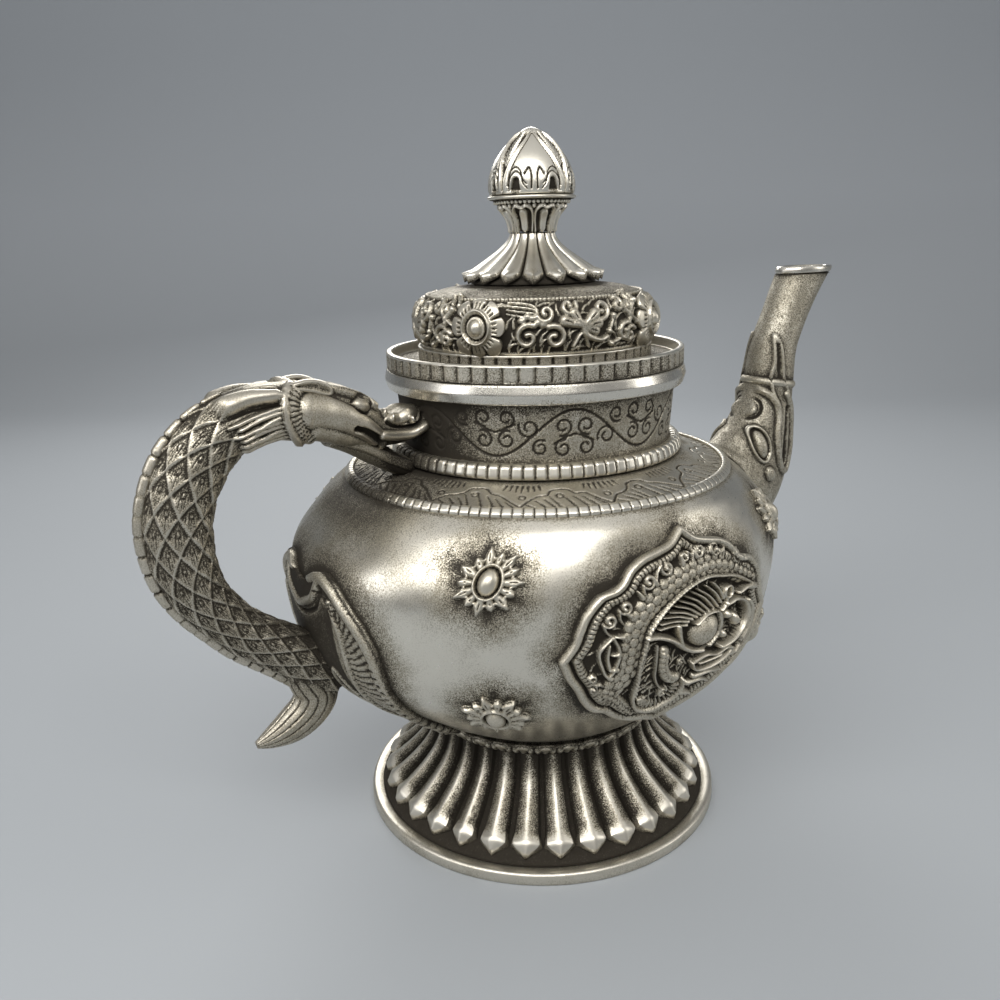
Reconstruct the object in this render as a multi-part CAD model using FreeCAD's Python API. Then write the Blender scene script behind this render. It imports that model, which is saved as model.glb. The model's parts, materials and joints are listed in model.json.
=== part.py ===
import FreeCAD, Part
import math
import os

# A dragon-handled teapot of Tibetan silver: a hollow belly on a petalled foot, a curved spout
# and a lift-off lid.
# Lengths are in millimetres. The origin is the centre of the foot's underside, +Z up, +X to the spout,
# -X to the handle and -Y to the front medallion.

V = FreeCAD.Vector
O = V(0, 0, 0)
UP = V(0, 0, 1)

# Clearances and walls shared by the whole pot
solder_gap = 0.05            # between a soldered piece and what carries it
seat_gap = 0.15              # between the lid's flange and the mouth it rests on
collar_play = 0.45           # radial, between the lid's collar and the neck's bore
overrun = 40.0               # how far a cutting solid runs past what it cuts
belly_wall = 1.6
sheet_wall = 1.3             # neck, lid and foot sheet

# Foot
foot_radius = 46.5
foot_thickness = 3.1
foot_edge_round = 1.8        # how far the plate's upper edge is drawn in
foot_rim_width = 1.1
foot_floor = 1.6             # height of the plate's sunken floor
skirt_power = 2.1            # how sharply the skirt flares
foot_petal_count = 26
foot_petal_height = 24.2     # top of the petals
foot_petal_rise = 3.4        # how far a petal's ridge stands out of the skirt at its tip
foot_petal_tip_share = 0.945 # how far down the skirt the tips lie
foot_petal_fill = 0.86       # petal width over petal spacing
waist_radius = 27.4          # skirt radius under the belly
waist_ring_radius = 28.9
waist_ring_height = 2.6
waist_bead_radius = 0.9

# Belly: an oval bowl, longer from handle to spout than from medallion to medallion
belly_base_height = 26.4
belly_base_radius = 28.1
belly_radius = 63.4          # long half axis
belly_flatness = 0.864       # short half axis over long half axis
shoulder_height = 89.4
shoulder_radius = 46.6
# height between base and shoulder, long half axis and roundness of each section of the belly
belly_section_shares = [
    (0.000, 0.443, 1.00), (0.068, 0.560, 0.75), (0.165, 0.700, 0.45), (0.290, 0.862, 0.15),
    (0.430, 0.963, 0.00), (0.555, 0.991, 0.00), (0.680, 1.000, 0.00), (0.794, 0.980, 0.06),
    (0.886, 0.905, 0.35), (0.954, 0.829, 0.75), (1.000, 0.735, 1.00),
]

# Shoulder, neck and mouth
neck_radius = 32.8
neck_flare = 1.0             # how much wider the neck is under the mouth
neck_foot_height = 94.6
collar_thickness = 0.8
shoulder_step = 0.5          # how far the shoulder's cone stands in from the belly's edge, under the bead
shoulder_bead_width = 2.4
shoulder_bead_height = 2.0
shoulder_bead_notches = 75
neck_bead_width = 3.0
neck_bead_height = 2.8
neck_bead_notches = 60
bead_notch_width = 0.55
bead_notch_depth = 0.6
mouth_foot_height = 110.4
mouth_top_height = 114.85
mouth_radius = 36.0
mouth_bulge = 0.7

# Lid
flange_radius = 36.0
flange_height = 3.9
flange_plate = 1.3
flange_lip = 1.4
flange_notches = 64
flange_notch_width = 0.8
flange_notch_depth = 0.7
step_radius = 28.2
step_width = 2.6
step_height = 3.7
step_notches = 56
drum_foot_radius = 26.4
drum_radius = 28.0
drum_height = 11.9
drum_top_radius = 24.0
drum_side_shares = [(0.99, 0.25), (1, 0.56), (0.965, 0.85)]  # the side's bulge: radius and height
drum_crown = 1.9             # rise of the lid's flat top towards the finial
rope_radius = 0.75
collar_length = 9.0
flower_count = 4
flower_turn = -148.7         # degrees from the spout's side to the first flower
flower_radius = 4.3
flower_boss_radius = 1.9
flower_rise = 1.5
flower_petals = 8

# Finial
flute_count = 16
flute_foot_radius = 16.6
flute_waist_radius = 5.6
flute_height = 11.4
flute_rise = 1.7
flute_fill = 0.92
flute_power = 1.7
flute_tip_share = 0.97
cup_top_radius = 9.4
cup_height = 7.2
belt_width = 1.2
belt_height = 1.1
bud_radius = 10.1
bud_height = 15.0
bud_dimple = 0.7
stud_radius = 1.6
nut_radius = 4.0
nut_thickness = 2.4

# Spout
spout_wall = 1.3
ring_proud = 0.9
ring_length = 2.6
lip_height = 133.8
lip_reach = 95.2             # from the pot's axis to the lip's middle
lip_length = 19.2
lip_width = 12.4
lip_ring = 2.2
lip_proud = 0.8
spout_root_width = 36.0      # the largest section, where the spout leaves the belly
# along the spout: reach and height as shares of the lip's, width and thickness as shares of the root's width
socket_shares = [
    (0.567, 0.490, 1.00, 0.66), (0.656, 0.510, 0.94, 0.63), (0.757, 0.556, 0.85, 0.59),
    (0.814, 0.617, 0.69, 0.53), (0.842, 0.674, 0.52, 0.47), (0.860, 0.727, 0.42, 0.42), (0.867, 0.757, 0.40, 0.40),
]
tube_shares = [
    (0.867, 0.757, 0.40, 0.40), (0.882, 0.830, 0.366, 0.366), (0.917, 0.889, 0.356, 0.350),
    (0.960, 0.950, 0.385, 0.350), (1.012, 1.012, 0.440, 0.345),
]
panel_length = 17.0
panel_width = 3.6
panel_proud = 0.7
boss_length = 6.4
boss_width = 3.2
scroll_radius = 2.6

# Handle: a dragon whose body makes the grip
handle_reach = 95.5          # the back of the grip
handle_rise = 116.8          # the top of the grip
handle_thickness = 14.0      # the largest section
# along the grip: reach, height, depth and breadth as shares of the three sizes above
grip_shares = [
    (0.565, 0.929, 0.85, 0.80), (0.628, 0.940, 0.87, 0.85), (0.689, 0.947, 0.88, 0.86), (0.748, 0.943, 0.90, 0.86),
    (0.798, 0.931, 0.92, 0.88), (0.840, 0.909, 0.96, 0.90), (0.880, 0.871, 1.00, 0.92), (0.910, 0.825, 1.00, 0.93),
    (0.926, 0.778, 1.00, 0.93), (0.928, 0.729, 0.97, 0.90), (0.918, 0.677, 0.90, 0.86), (0.893, 0.628, 0.80, 0.79),
    (0.856, 0.585, 0.73, 0.73), (0.807, 0.541, 0.73, 0.73), (0.758, 0.510, 0.76, 0.75), (0.714, 0.484, 0.80, 0.79),
    (0.650, 0.444, 0.87, 0.86), (0.600, 0.415, 0.89, 0.88),
]
tail_shares = [
    (0.690, 0.450, 0.60, 0.70), (0.668, 0.415, 0.72, 0.72), (0.655, 0.380, 0.73, 0.70), (0.678, 0.347, 0.68, 0.62),
    (0.724, 0.323, 0.60, 0.52), (0.775, 0.309, 0.36, 0.34), (0.812, 0.303, 0.12, 0.12),
]
skull_shares = [
    (0.600, 0.936, 0.88, 0.90), (0.560, 0.931, 0.92, 0.96), (0.508, 0.914, 0.82, 0.92), (0.460, 0.893, 0.62, 0.78),
    (0.412, 0.886, 0.52, 0.66), (0.372, 0.893, 0.56, 0.68), (0.340, 0.898, 0.50, 0.62), (0.318, 0.897, 0.30, 0.40),
]
jaw_shares = [
    (0.545, 0.880, 0.30, 0.66), (0.490, 0.857, 0.36, 0.62), (0.440, 0.832, 0.34, 0.55), (0.400, 0.813, 0.30, 0.46),
    (0.370, 0.803, 0.16, 0.28),
]
horn_shares = [
    (0.500, 0.968, 0.14, 0.14), (0.520, 0.985, 0.20, 0.18), (0.560, 0.995, 0.24, 0.20), (0.610, 0.992, 0.22, 0.18),
    (0.650, 0.980, 0.08, 0.08),
]
horn_spread = 4.2            # half the distance between the horns
lock_count = 6
lock_length_shares = [0.20, 0.33, 0.52, 0.72, 0.88, 1.00]
lock_thickness = 3.4
gill_width = 3.2
gill_proud = 1.5
ridge_width = 2.6
ridge_proud = 1.5

# Leaf plate that carries the grip's lower end
leaf_height = 76.5           # top of the leaf
leaf_half_width = 24.0
leaf_thickness = 1.8
leaf_notch = 3.5
leaf_width_shares = [(0.42, 1.000), (0.76, 0.935), (1.000, 0.815), (0.960, 0.640), (0.800, 0.480)]

# Medallions on the front and the back
medallion_half_width = 28.5
medallion_half_height = 23.6
medallion_height = 62.2      # of its middle
medallion_plate = 0.9
frame_proud = 2.3
frame_width_share = 0.075
inner_frame_share = 0.83
inner_frame_width_share = 0.052
inner_frame_proud = 1.8
# one quarter of the medallion's edge, top point to side point: arcs, each through a middle point
medallion_quarter_shares = [
    ((0.115, 0.860), (0.300, 0.815)), ((0.465, 0.790), (0.575, 0.640)), ((0.700, 0.640), (0.800, 0.500)),
    ((0.880, 0.330), (0.900, 0.170)), ((0.925, 0.060), (1.000, 0.000)),
]
coil_start = 25.0            # degrees above the spout's side, where the dragon's neck ends
coil_sweep = 300.0
coil_share = 0.60            # the coil's radius at the neck, as a share of the medallion's half height
coil_end_share = 0.30        # and at the tail
coil_stretch = 1.15          # how much wider than tall the coil is
dragon_thickness = 6.2
dragon_taper = 0.62
dragon_height_share = 0.75   # how far the dragon stands out, over its thickness
dragon_head_radius = 5.4
dragon_head_reach = 3.0
dragon_head_tilt = -25.0
dragon_leg_thickness = 2.6
dragon_claw_share = 0.12     # a claw's length, as a share of the medallion's half height
# routes of the legs and the horns, right and up of the medallion's middle, as shares of its half height
dragon_leg_shares = [
    [(0.52, 0.42), (0.72, 0.46), (0.84, 0.30)], [(-0.42, 0.46), (-0.62, 0.56), (-0.80, 0.42)],
    [(-0.58, -0.22), (-0.78, -0.24), (-0.84, -0.44)], [(0.16, -0.50), (0.40, -0.62), (0.62, -0.50)],
]
dragon_horn_shares = [
    [(0.20, 0.14), (0.40, 0.18), (0.56, 0.08)], [(0.10, 0.06), (-0.04, 0.22), (-0.20, 0.26)],
    [(0.30, -0.10), (0.50, -0.16), (0.66, -0.06)], [(0.00, -0.10), (-0.16, -0.18), (-0.24, -0.06)],
]

# Rosettes in two rows between medallion, handle and spout
rosette_radius = 7.4
rosette_petals = 12
rosette_short_share = 0.86    # every other petal's reach
rosette_inner_share = 0.62
rosette_proud = 1.5
rosette_dome = 26.0
rosette_boss_radius = 2.9
rosette_boss_proud = 2.7
rosette_sink = 1.4           # how far the rosette's back reaches into the belly before it is fitted
rosette_angles = (226.0, 314.0)
upper_rosette_height = 78.8
lower_rosette_height = 47.9

flange_foot = mouth_top_height + seat_gap
drum_foot = flange_foot + flange_plate + step_height
drum_top = drum_foot + drum_height
finial_foot = drum_top + drum_crown
finial_waist = finial_foot + flute_height
belt_foot = finial_waist + cup_height
bud_foot = belt_foot + belt_height
shell_neck_height = neck_foot_height - collar_thickness


def polar(radius, degrees, height):
    turn = math.radians(degrees)
    return V(radius * math.cos(turn), radius * math.sin(turn), height)


def edges_through(start, steps):
    # a step is the next corner, or a pair: a point on an arc and the arc's end
    edges = []
    here = start
    for step in steps:
        if isinstance(step, tuple):
            edges.append(Part.Arc(here, step[0], step[1]).toShape())
            here = step[1]
        else:
            edges.append(Part.makeLine(here, step))
            here = step
    if here.distanceToPoint(start) > solder_gap / 10:
        edges.append(Part.makeLine(here, start))
    return edges


def flat(start, *steps):
    return Part.Face(Part.Wire(edges_through(start, steps)))


def spun(start, *steps):
    # an outline of radius and height turned about the pot's axis
    def place(point):
        return V(point[0], 0, point[1])

    placed = [(place(s[0]), place(s[1])) if isinstance(s[0], tuple) else place(s) for s in steps]
    return flat(place(start), *placed).revolve(O, UP, 360)


def ring_of(points):
    curve = Part.BSplineCurve()
    curve.interpolate(Points=points, PeriodicFlag=True)
    return Part.Wire([curve.toShape()])


def oval(centre, along, across, width, breadth):
    # an oval square to 'along': 'width' in the plane of 'along' and 'across', 'breadth' at right angles to both
    side = along.cross(across).normalize()
    out = side.cross(along).normalize()
    points = []
    for i in range(12):
        turn = math.radians(30 * i)
        points.append(centre + out * (width / 2 * math.cos(turn)) + side * (breadth / 2 * math.sin(turn)))
    return ring_of(points)


def loft(sections):
    return Part.makeLoft(sections, True, False)


def belly(grow):
    # the belly's outside, grown outwards by 'grow'
    rise = shoulder_height - belly_base_height
    sections = []
    for height_share, radius_share, roundness in belly_section_shares:
        long_half = belly_radius * radius_share
        short_half = long_half * (belly_flatness + (1 - belly_flatness) * roundness)
        centre = V(0, 0, belly_base_height + rise * height_share)
        sections.append(oval(centre, UP, V(1, 0, 0), 2 * (long_half + grow), 2 * (short_half + grow)))
    return loft(sections)


belly_skin = belly(0)
belly_fit = belly(solder_gap)
belly_face = max(belly_skin.Faces, key=lambda face: face.Area)


def belly_point(degrees, height):
    # the place where a level line from the axis leaves the belly, and the way out of the surface there
    line = Part.makeLine(V(0, 0, height), polar(belly_radius + overrun, degrees, height))
    place = belly_face.distToShape(line)[1][0][0]
    u, v = belly_face.Surface.parameter(place)
    way = belly_face.normalAt(u, v)
    if way.dot(V(place.x, place.y, 0)) < 0:
        way = way.negative()
    return place, way


def turned_round(shape):
    # the same piece on the opposite side of the pot, which is alike front and back
    copy = shape.copy()
    copy.rotate(O, UP, 180)
    return copy


def facing(place, way, turn=0):
    # a placement whose own +Z points along 'way' and whose own +Y points as near up as it can
    side = UP.cross(way).normalize()
    rise = way.cross(side).normalize()
    matrix = FreeCAD.Matrix(
        side.x, rise.x, way.x, place.x,
        side.y, rise.y, way.y, place.y,
        side.z, rise.z, way.z, place.z,
        0, 0, 0, 1)
    return FreeCAD.Placement(matrix).multiply(FreeCAD.Placement(O, FreeCAD.Rotation(UP, turn)))


def notched(ring, count, radius, width, depth, crown=overrun):
    # upright cuts all round a ring's outside, from below it to 'crown' over its top
    low = ring.BoundBox.ZMin - overrun
    tall = ring.BoundBox.ZLength + overrun + crown
    cutters = []
    for i in range(count):
        block = Part.makeBox(depth + overrun, width, tall, V(radius - depth, -width / 2, low))
        block.rotate(O, UP, 360.0 * i / count)
        cutters.append(block)
    return ring.cut(Part.makeCompound(cutters))


def path_point(share, reach, rise, side):
    return V(side * reach * share[0], 0, rise * share[1])


def path_sections(shares, reach, rise, size, side, grow=0):
    places = [path_point(s, reach, rise, side) for s in shares]
    sections = []
    for i, share in enumerate(shares):
        along = places[min(i + 1, len(places) - 1)] - places[max(i - 1, 0)]
        width = size * share[2] + 2 * grow
        breadth = size * share[3] + 2 * grow
        sections.append(oval(places[i], along, V(0, 1, 0).cross(along), width, breadth))
    return sections


def handle_loft(shares, grow=0):
    return loft(path_sections(shares, handle_reach, handle_rise, handle_thickness, -1, grow))


def foot_plate():
    rim_inner = foot_radius - foot_edge_round - foot_rim_width
    return spun(
        (0, 0), (foot_radius, 0),
        ((foot_radius - foot_edge_round * 0.15, foot_thickness * 0.6),
         (foot_radius - foot_edge_round, foot_thickness)),
        (rim_inner, foot_thickness), (rim_inner, foot_floor), (0, foot_floor))


def flare_point(share, top, foot, power):
    # a point of a flaring sheet's profile, 'share' of the way down from 'top' to 'foot', as radius and height
    return V(top[0] + (foot[0] - top[0]) * share ** power, 0, top[1] + (foot[1] - top[1]) * share)


def flare_sheet(top, foot, power, wall, crown):
    # the spun sheet under a ring of petals; it ends in an upright collar up to 'crown'
    outer = [flare_point(i / 5, top, foot, power) for i in range(6)]
    inner = [V(p.x - wall, 0, p.z) for p in outer]
    front = Part.BSplineCurve()
    front.interpolate(outer)
    back = Part.BSplineCurve()
    back.interpolate(inner)
    high_out = V(outer[0].x, 0, crown)
    high_in = V(inner[0].x, 0, crown)
    edges = [front.toShape(), Part.makeLine(outer[0], high_out), Part.makeLine(high_out, high_in),
             Part.makeLine(high_in, inner[0]), back.toShape(), Part.makeLine(inner[-1], outer[-1])]
    return Part.Face(Part.Wire(Part.__sortEdges__(edges))).revolve(O, UP, 360)


def petal_ring(count, top, foot, power, rise, fill, tip_share):
    # ridged petals on a flaring sheet; each ends in two facets that meet in a raised point
    def section(share, ridge, edge, half_width):
        here = flare_point(share, top, foot, power)
        before = flare_point(max(share - 0.01, 0), top, foot, power)
        along = flare_point(share + 0.01, top, foot, power) - before
        out = V(-along.z, 0, along.x).normalize()
        base = here + out * solder_gap
        side = V(0, half_width, 0)
        return Part.makePolygon([base - side, base - side + out * edge, base + out * ridge,
                                 base + side + out * edge, base + side, base - side])

    sections = []
    for share in (0.0, 0.3, 0.55, 0.75, tip_share * 0.92):
        spacing = 2 * math.pi * flare_point(share, top, foot, power).x / count
        grown = rise * (0.5 + 0.5 * share)
        sections.append(section(share, grown, grown * 0.62, spacing * fill / 2))
    sections.append(section(tip_share, rise * 0.80, rise * 0.74, spacing * fill * 0.02))
    one = Part.makeLoft(sections, True, True)
    copies = []
    for i in range(count):
        copy = one.copy()
        copy.rotate(O, UP, 360.0 * i / count)
        copies.append(copy)
    return Part.makeCompound(copies)


def foot_flare():
    # the skirt's profile ends against the inner corner of the plate's rim
    rim_inner = foot_radius - foot_edge_round - foot_rim_width
    return (waist_radius, foot_petal_height), (rim_inner, foot_thickness - seat_gap), skirt_power


def foot_stem():
    top, foot, power = foot_flare()
    return flare_sheet(top, foot, power, sheet_wall, belly_base_height - solder_gap).cut(belly_fit)


def foot_petals():
    top, foot, power = foot_flare()
    return petal_ring(foot_petal_count, top, foot, power, foot_petal_rise, foot_petal_fill,
                      foot_petal_tip_share)


def waist_ring():
    low = foot_petal_height + solder_gap
    high = low + waist_ring_height
    back = waist_radius + solder_gap
    return spun((back, low), (waist_ring_radius, low),
                ((waist_ring_radius + waist_bead_radius, (low + high) / 2), (waist_ring_radius, high)),
                (back, high)).cut(belly_fit)


def body_shell(bore):
    inside = belly(-belly_wall)
    floor = Part.makeBox(2 * belly_radius, 2 * belly_radius, belly_wall,
                         V(-belly_radius, -belly_radius, belly_base_height))
    step = shoulder_radius - shoulder_step
    low = shoulder_height - belly_wall / 2
    dome = spun((0, low), (step, low), (step, shoulder_height),
                (neck_radius + solder_gap, shell_neck_height), (0, shell_neck_height))
    hole = neck_radius - sheet_wall
    sill = shoulder_radius - 2 * belly_wall
    opening = spun((0, shoulder_height - belly_wall), (sill, shoulder_height - belly_wall),
                   (sill, shoulder_height), (hole, shell_neck_height - sheet_wall / 2),
                   (hole, shell_neck_height + overrun), (0, shell_neck_height + overrun))
    return belly_skin.fuse(dome).cut(inside.cut(floor)).cut(opening).cut(bore)


def shoulder_collar():
    low = (shoulder_radius - shoulder_bead_width / 2, shoulder_height + solder_gap)
    slope = (shell_neck_height - shoulder_height) / (shoulder_radius - neck_radius)
    lift = collar_thickness
    start = (low[0], low[1] + slope * shoulder_bead_width / 2)
    end_radius = neck_radius + neck_bead_width + solder_gap
    end_height = shell_neck_height + solder_gap - slope * (end_radius - neck_radius)
    return spun(start, (start[0], start[1] + lift), (end_radius, end_height + lift), (end_radius, end_height))


def shoulder_bead():
    outer = shoulder_radius + shoulder_bead_width / 2
    inner = shoulder_radius - shoulder_bead_width / 2
    low = shoulder_height - shoulder_bead_height / 4
    high = shoulder_height + shoulder_bead_height
    slope = (shell_neck_height - shoulder_height) / (shoulder_radius - neck_radius)
    inner_low = shoulder_height + slope * shoulder_bead_width / 2 + solder_gap
    ring = spun((outer, low), ((outer, (low + high) / 2), (shoulder_radius, high)),
                (inner + solder_gap, high - solder_gap), (inner + solder_gap, inner_low),
                (shoulder_radius, shoulder_height + solder_gap), (shoulder_radius, low))
    ring = ring.cut(belly_fit)
    return notched(ring, shoulder_bead_notches, outer, bead_notch_width, bead_notch_depth)


def neck_bead():
    outer = neck_radius + neck_bead_width
    low = neck_foot_height + solder_gap
    high = low + neck_bead_height
    inner = neck_radius + 2 * solder_gap
    crest = (outer - bead_notch_depth / 4, (low + high) / 2)
    ring = spun((inner, low), (outer, low), (crest, (outer - neck_bead_width / 3, high)),
                (inner + neck_flare, high))
    return notched(ring, neck_bead_notches, outer, bead_notch_width, bead_notch_depth)


def neck_tube():
    low = shell_neck_height + solder_gap
    high = mouth_top_height
    inner = neck_radius - sheet_wall
    return spun((inner, low), (neck_radius, low), (neck_radius, neck_foot_height + neck_bead_height),
                (neck_radius + neck_flare, mouth_foot_height), (neck_radius + neck_flare, high), (inner, high))


def mouth_band():
    inner = neck_radius + neck_flare + solder_gap
    middle = (mouth_foot_height + mouth_top_height) / 2
    return spun((inner, mouth_foot_height), (mouth_radius, mouth_foot_height),
                ((mouth_radius + mouth_bulge, middle), (mouth_radius, mouth_top_height)),
                (inner, mouth_top_height))


def spout_bore(shares):
    return loft(path_sections(shares, lip_reach, lip_height, spout_root_width, 1, -spout_wall))


def level_oval(centre, length, width, height):
    return oval(V(centre, 0, height), UP, V(1, 0, 0), length, width)


def above(height):
    block = 4 * overrun
    return Part.makeBox(block * 2, block * 2, block, V(-block, -block, height))


def spout_joint_cut(offset):
    # everything past a plane square to the spout at its ring joint
    here = path_point(socket_shares[-1], lip_reach, lip_height, 1)
    before = path_point(socket_shares[-2], lip_reach, lip_height, 1)
    along = (here - before).normalize()
    block = Part.makeBox(4 * overrun, 4 * overrun, 4 * overrun, V(-2 * overrun, -2 * overrun, 0))
    block.Placement = facing(here + along * offset, along)
    return block


def spout_socket():
    outer = loft(path_sections(socket_shares, lip_reach, lip_height, spout_root_width, 1))
    shell = outer.cut(spout_bore(socket_shares)).cut(belly_fit)
    return shell.cut(spout_joint_cut(-ring_length / 2 - solder_gap))


def spout_ring():
    width = spout_root_width * socket_shares[-1][2]
    here = path_point(socket_shares[-1], lip_reach, lip_height, 1)
    before = path_point(socket_shares[-2], lip_reach, lip_height, 1)
    along = (here - before).normalize()
    inner = width / 2 - spout_wall
    outer = width / 2
    half = ring_length / 2
    ring = spun((inner, -half), (outer, -half), ((outer + ring_proud, 0), (outer, half)), (inner, half))
    ring.Placement = facing(here, along)
    return ring


def spout_tube():
    outer = loft(path_sections(tube_shares, lip_reach, lip_height, spout_root_width, 1))
    tube = outer.cut(spout_bore(tube_shares)).cut(above(lip_height - lip_ring - solder_gap))
    return tube.common(spout_joint_cut(ring_length / 2 + solder_gap))


def spout_lip():
    low = lip_height - lip_ring
    drift = lip_ring * 0.35
    outer = loft([level_oval(lip_reach - drift, lip_length - 2 * lip_proud, lip_width - 2 * lip_proud, low),
                  level_oval(lip_reach, lip_length, lip_width, lip_height)])
    bore_length = lip_length - 2 * lip_proud - 2 * spout_wall
    bore_width = lip_width - 2 * lip_proud - 2 * spout_wall
    bore = loft([level_oval(lip_reach - drift, bore_length, bore_width, low - solder_gap),
                 level_oval(lip_reach, bore_length, bore_width, lip_height + solder_gap)])
    return outer.cut(bore)


def spout_relief():
    # on each cheek of the spout: a long panel, an oval boss and a scroll's eye
    before, here, after = [path_point(share, lip_reach, lip_height, 1) for share in socket_shares[3:6]]
    along = (after - before).normalize()
    across = V(0, 1, 0).cross(along).normalize()
    skin = loft(path_sections(socket_shares, lip_reach, lip_height, spout_root_width, 1, solder_gap))
    cover = loft(path_sections(socket_shares, lip_reach, lip_height, spout_root_width, 1, panel_proud))
    panel_middle = here + across * (panel_width * 1.15) - along * (panel_length * 0.22)
    boss_middle = here - across * (panel_width * 0.75) - along * (panel_length * 0.30)
    eye_middle = here - across * (panel_width * 0.55) + along * (panel_length * 0.20)
    columns = []
    for middle, length, width in ((panel_middle, panel_length, panel_width),
                                  (boss_middle, boss_length, boss_width),
                                  (eye_middle, scroll_radius * 2, scroll_radius * 2)):
        outline = oval(middle - V(0, overrun, 0), V(0, 1, 0), along, length, width)
        columns.append(Part.Face(outline).extrude(V(0, 2 * overrun, 0)))
    cut_off = spout_joint_cut(-ring_length / 2 - solder_gap)
    return cover.common(Part.makeCompound(columns)).cut(skin).cut(belly_fit).cut(cut_off)


def leaf_plate():
    points = [V(0, 0, leaf_height - leaf_notch)]
    for width_share, height_share in leaf_width_shares:
        points.append(V(0, leaf_half_width * width_share, leaf_height * height_share))
    curve = Part.BSplineCurve()
    curve.interpolate(points)
    low = points[-1]
    mirror = [V(0, -p.y, p.z) for p in points]
    back = Part.BSplineCurve()
    back.interpolate(mirror)
    edges = [curve.toShape(), Part.makeLine(low, V(0, -low.y, low.z)), back.toShape()]
    face = Part.Face(Part.Wire(Part.__sortEdges__(edges)))
    column = face.extrude(V(-2 * belly_radius, 0, 0))
    return belly(leaf_thickness).common(column).cut(belly_fit)


def handle_grip(leaf_face):
    return handle_loft(grip_shares).cut(leaf_face)


def handle_tail(leaf_face, grip):
    return handle_loft(tail_shares).cut(grip).cut(leaf_face)


def handle_ridge(grip, leaf_face, tail, mane):
    # the crest along the back of the grip, between the mane and the tail
    sections = []
    places = [path_point(s, handle_reach, handle_rise, -1) for s in grip_shares]
    for i in range(3, len(grip_shares) - 1):
        along = (places[i + 1] - places[i - 1]).normalize()
        out = V(0, 1, 0).cross(along).normalize()
        edge = places[i] + out * (handle_thickness * grip_shares[i][2] / 2)
        low = edge - out * ridge_proud
        high = edge + out * ridge_proud * 0.7
        half = V(0, ridge_width / 2, 0)
        sections.append(Part.makePolygon([low - half, low + half, high + half * 0.5, high - half * 0.5,
                                          low - half]))
    return loft(sections).cut(grip).cut(leaf_face).cut(Part.makeCompound([tail] + mane))


def handle_skull(neck_fit):
    return handle_loft(skull_shares).cut(neck_fit)


def handle_jaw(neck_fit, skull, ground):
    return handle_loft(jaw_shares).cut(skull).cut(neck_fit).cut(ground)


def handle_horns(skull, grip):
    horns = []
    for side in (-1, 1):
        horn = handle_loft(horn_shares)
        horn.translate(V(0, side * horn_spread, 0))
        horns.append(horn.cut(skull).cut(grip))
    return horns


def handle_gill(skull, grip, horns):
    # the ruff behind the dragon's cheeks
    first = path_point(grip_shares[0], handle_reach, handle_rise, -1)
    along = (path_point(grip_shares[1], handle_reach, handle_rise, -1) - first).normalize()
    depth = handle_thickness * grip_shares[0][2] + 2 * gill_proud
    breadth = handle_thickness * grip_shares[0][3] + 2 * gill_proud
    across = V(0, 1, 0).cross(along)
    front = first + along * (gill_width * 0.4)
    ring = loft([
        oval(front, along, across, depth * 0.93, breadth * 0.93),
        oval(front + along * (gill_width * 0.5), along, across, depth, breadth),
        oval(front + along * gill_width, along, across, depth * 0.95, breadth * 0.95)])
    return ring.cut(grip).cut(skull).cut(Part.makeCompound(horns))


def handle_mane(grip, gill, horns):
    # locks swept back from the ruff over the first stretch of the grip
    locks = []
    for i in range(lock_count):
        turn = math.radians(-60 + 240.0 * i / (lock_count - 1))
        sections = []
        for j, length_share in enumerate(lock_length_shares):
            station = 0.5 + 4.2 * length_share
            low = int(station)
            part = station - low
            first = path_point(grip_shares[low], handle_reach, handle_rise, -1)
            second = path_point(grip_shares[low + 1], handle_reach, handle_rise, -1)
            centre = first * (1 - part) + second * part
            along = (second - first).normalize()
            across = V(0, 1, 0).cross(along).normalize()
            depth = handle_thickness * grip_shares[low][2] / 2
            breadth = handle_thickness * grip_shares[low][3] / 2
            edge = centre + across * (depth * math.sin(turn)) + V(0, breadth * math.cos(turn), 0)
            size = lock_thickness * (1.0 - 0.85 * length_share ** 2)
            sections.append(oval(edge, along, across, size, size))
        locks.append(loft(sections).cut(grip).cut(Part.makeCompound([gill] + horns)))
    return locks


def medallion_outline(scale, grow=0):
    # the lobed edge in the upright plane through the axis, square to Y
    wide = medallion_half_width * scale + grow
    tall = medallion_half_height * scale + grow

    def place(point, x_side, z_side):
        return V(wide * point[0] * x_side, 0, medallion_height + tall * point[1] * z_side)

    quarter = [(0, 1.0)]
    for middle, end in medallion_quarter_shares:
        quarter.extend([middle, end])
    edges = []
    for x_side, z_side in ((1, 1), (1, -1), (-1, -1), (-1, 1)):
        for i in range(0, len(quarter) - 1, 2):
            edges.append(Part.Arc(place(quarter[i], x_side, z_side), place(quarter[i + 1], x_side, z_side),
                                  place(quarter[i + 2], x_side, z_side)).toShape())
    return Part.Face(Part.Wire(Part.__sortEdges__(edges)))


def outward(face, side):
    return face.extrude(V(0, side * 2 * belly_radius, 0))


def medallion(side):
    # a thin plate on the belly with a smooth outer frame and a lower, notched inner frame
    outer = outward(medallion_outline(1.0), side)
    frame_hole = outward(medallion_outline(1 - frame_width_share), side)
    inner = outward(medallion_outline(inner_frame_share), side)
    inner_hole = outward(medallion_outline(inner_frame_share - inner_frame_width_share), side)
    plate = belly(medallion_plate).common(outer)
    frame = belly(frame_proud).common(outer.cut(frame_hole))
    notch_frame = belly(inner_frame_proud).common(inner.cut(inner_hole))
    return plate.fuse([frame, notch_frame]).cut(belly_fit)


def face_point(x, z, side, grow):
    # the place on the belly straight behind a point of the medallion's plane
    line = Part.makeLine(V(x, 0, z), V(x, side * 2 * belly_radius, z))
    place = belly_face.distToShape(line)[1][0][0]
    return V(place.x, place.y + side * grow, place.z)


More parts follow.
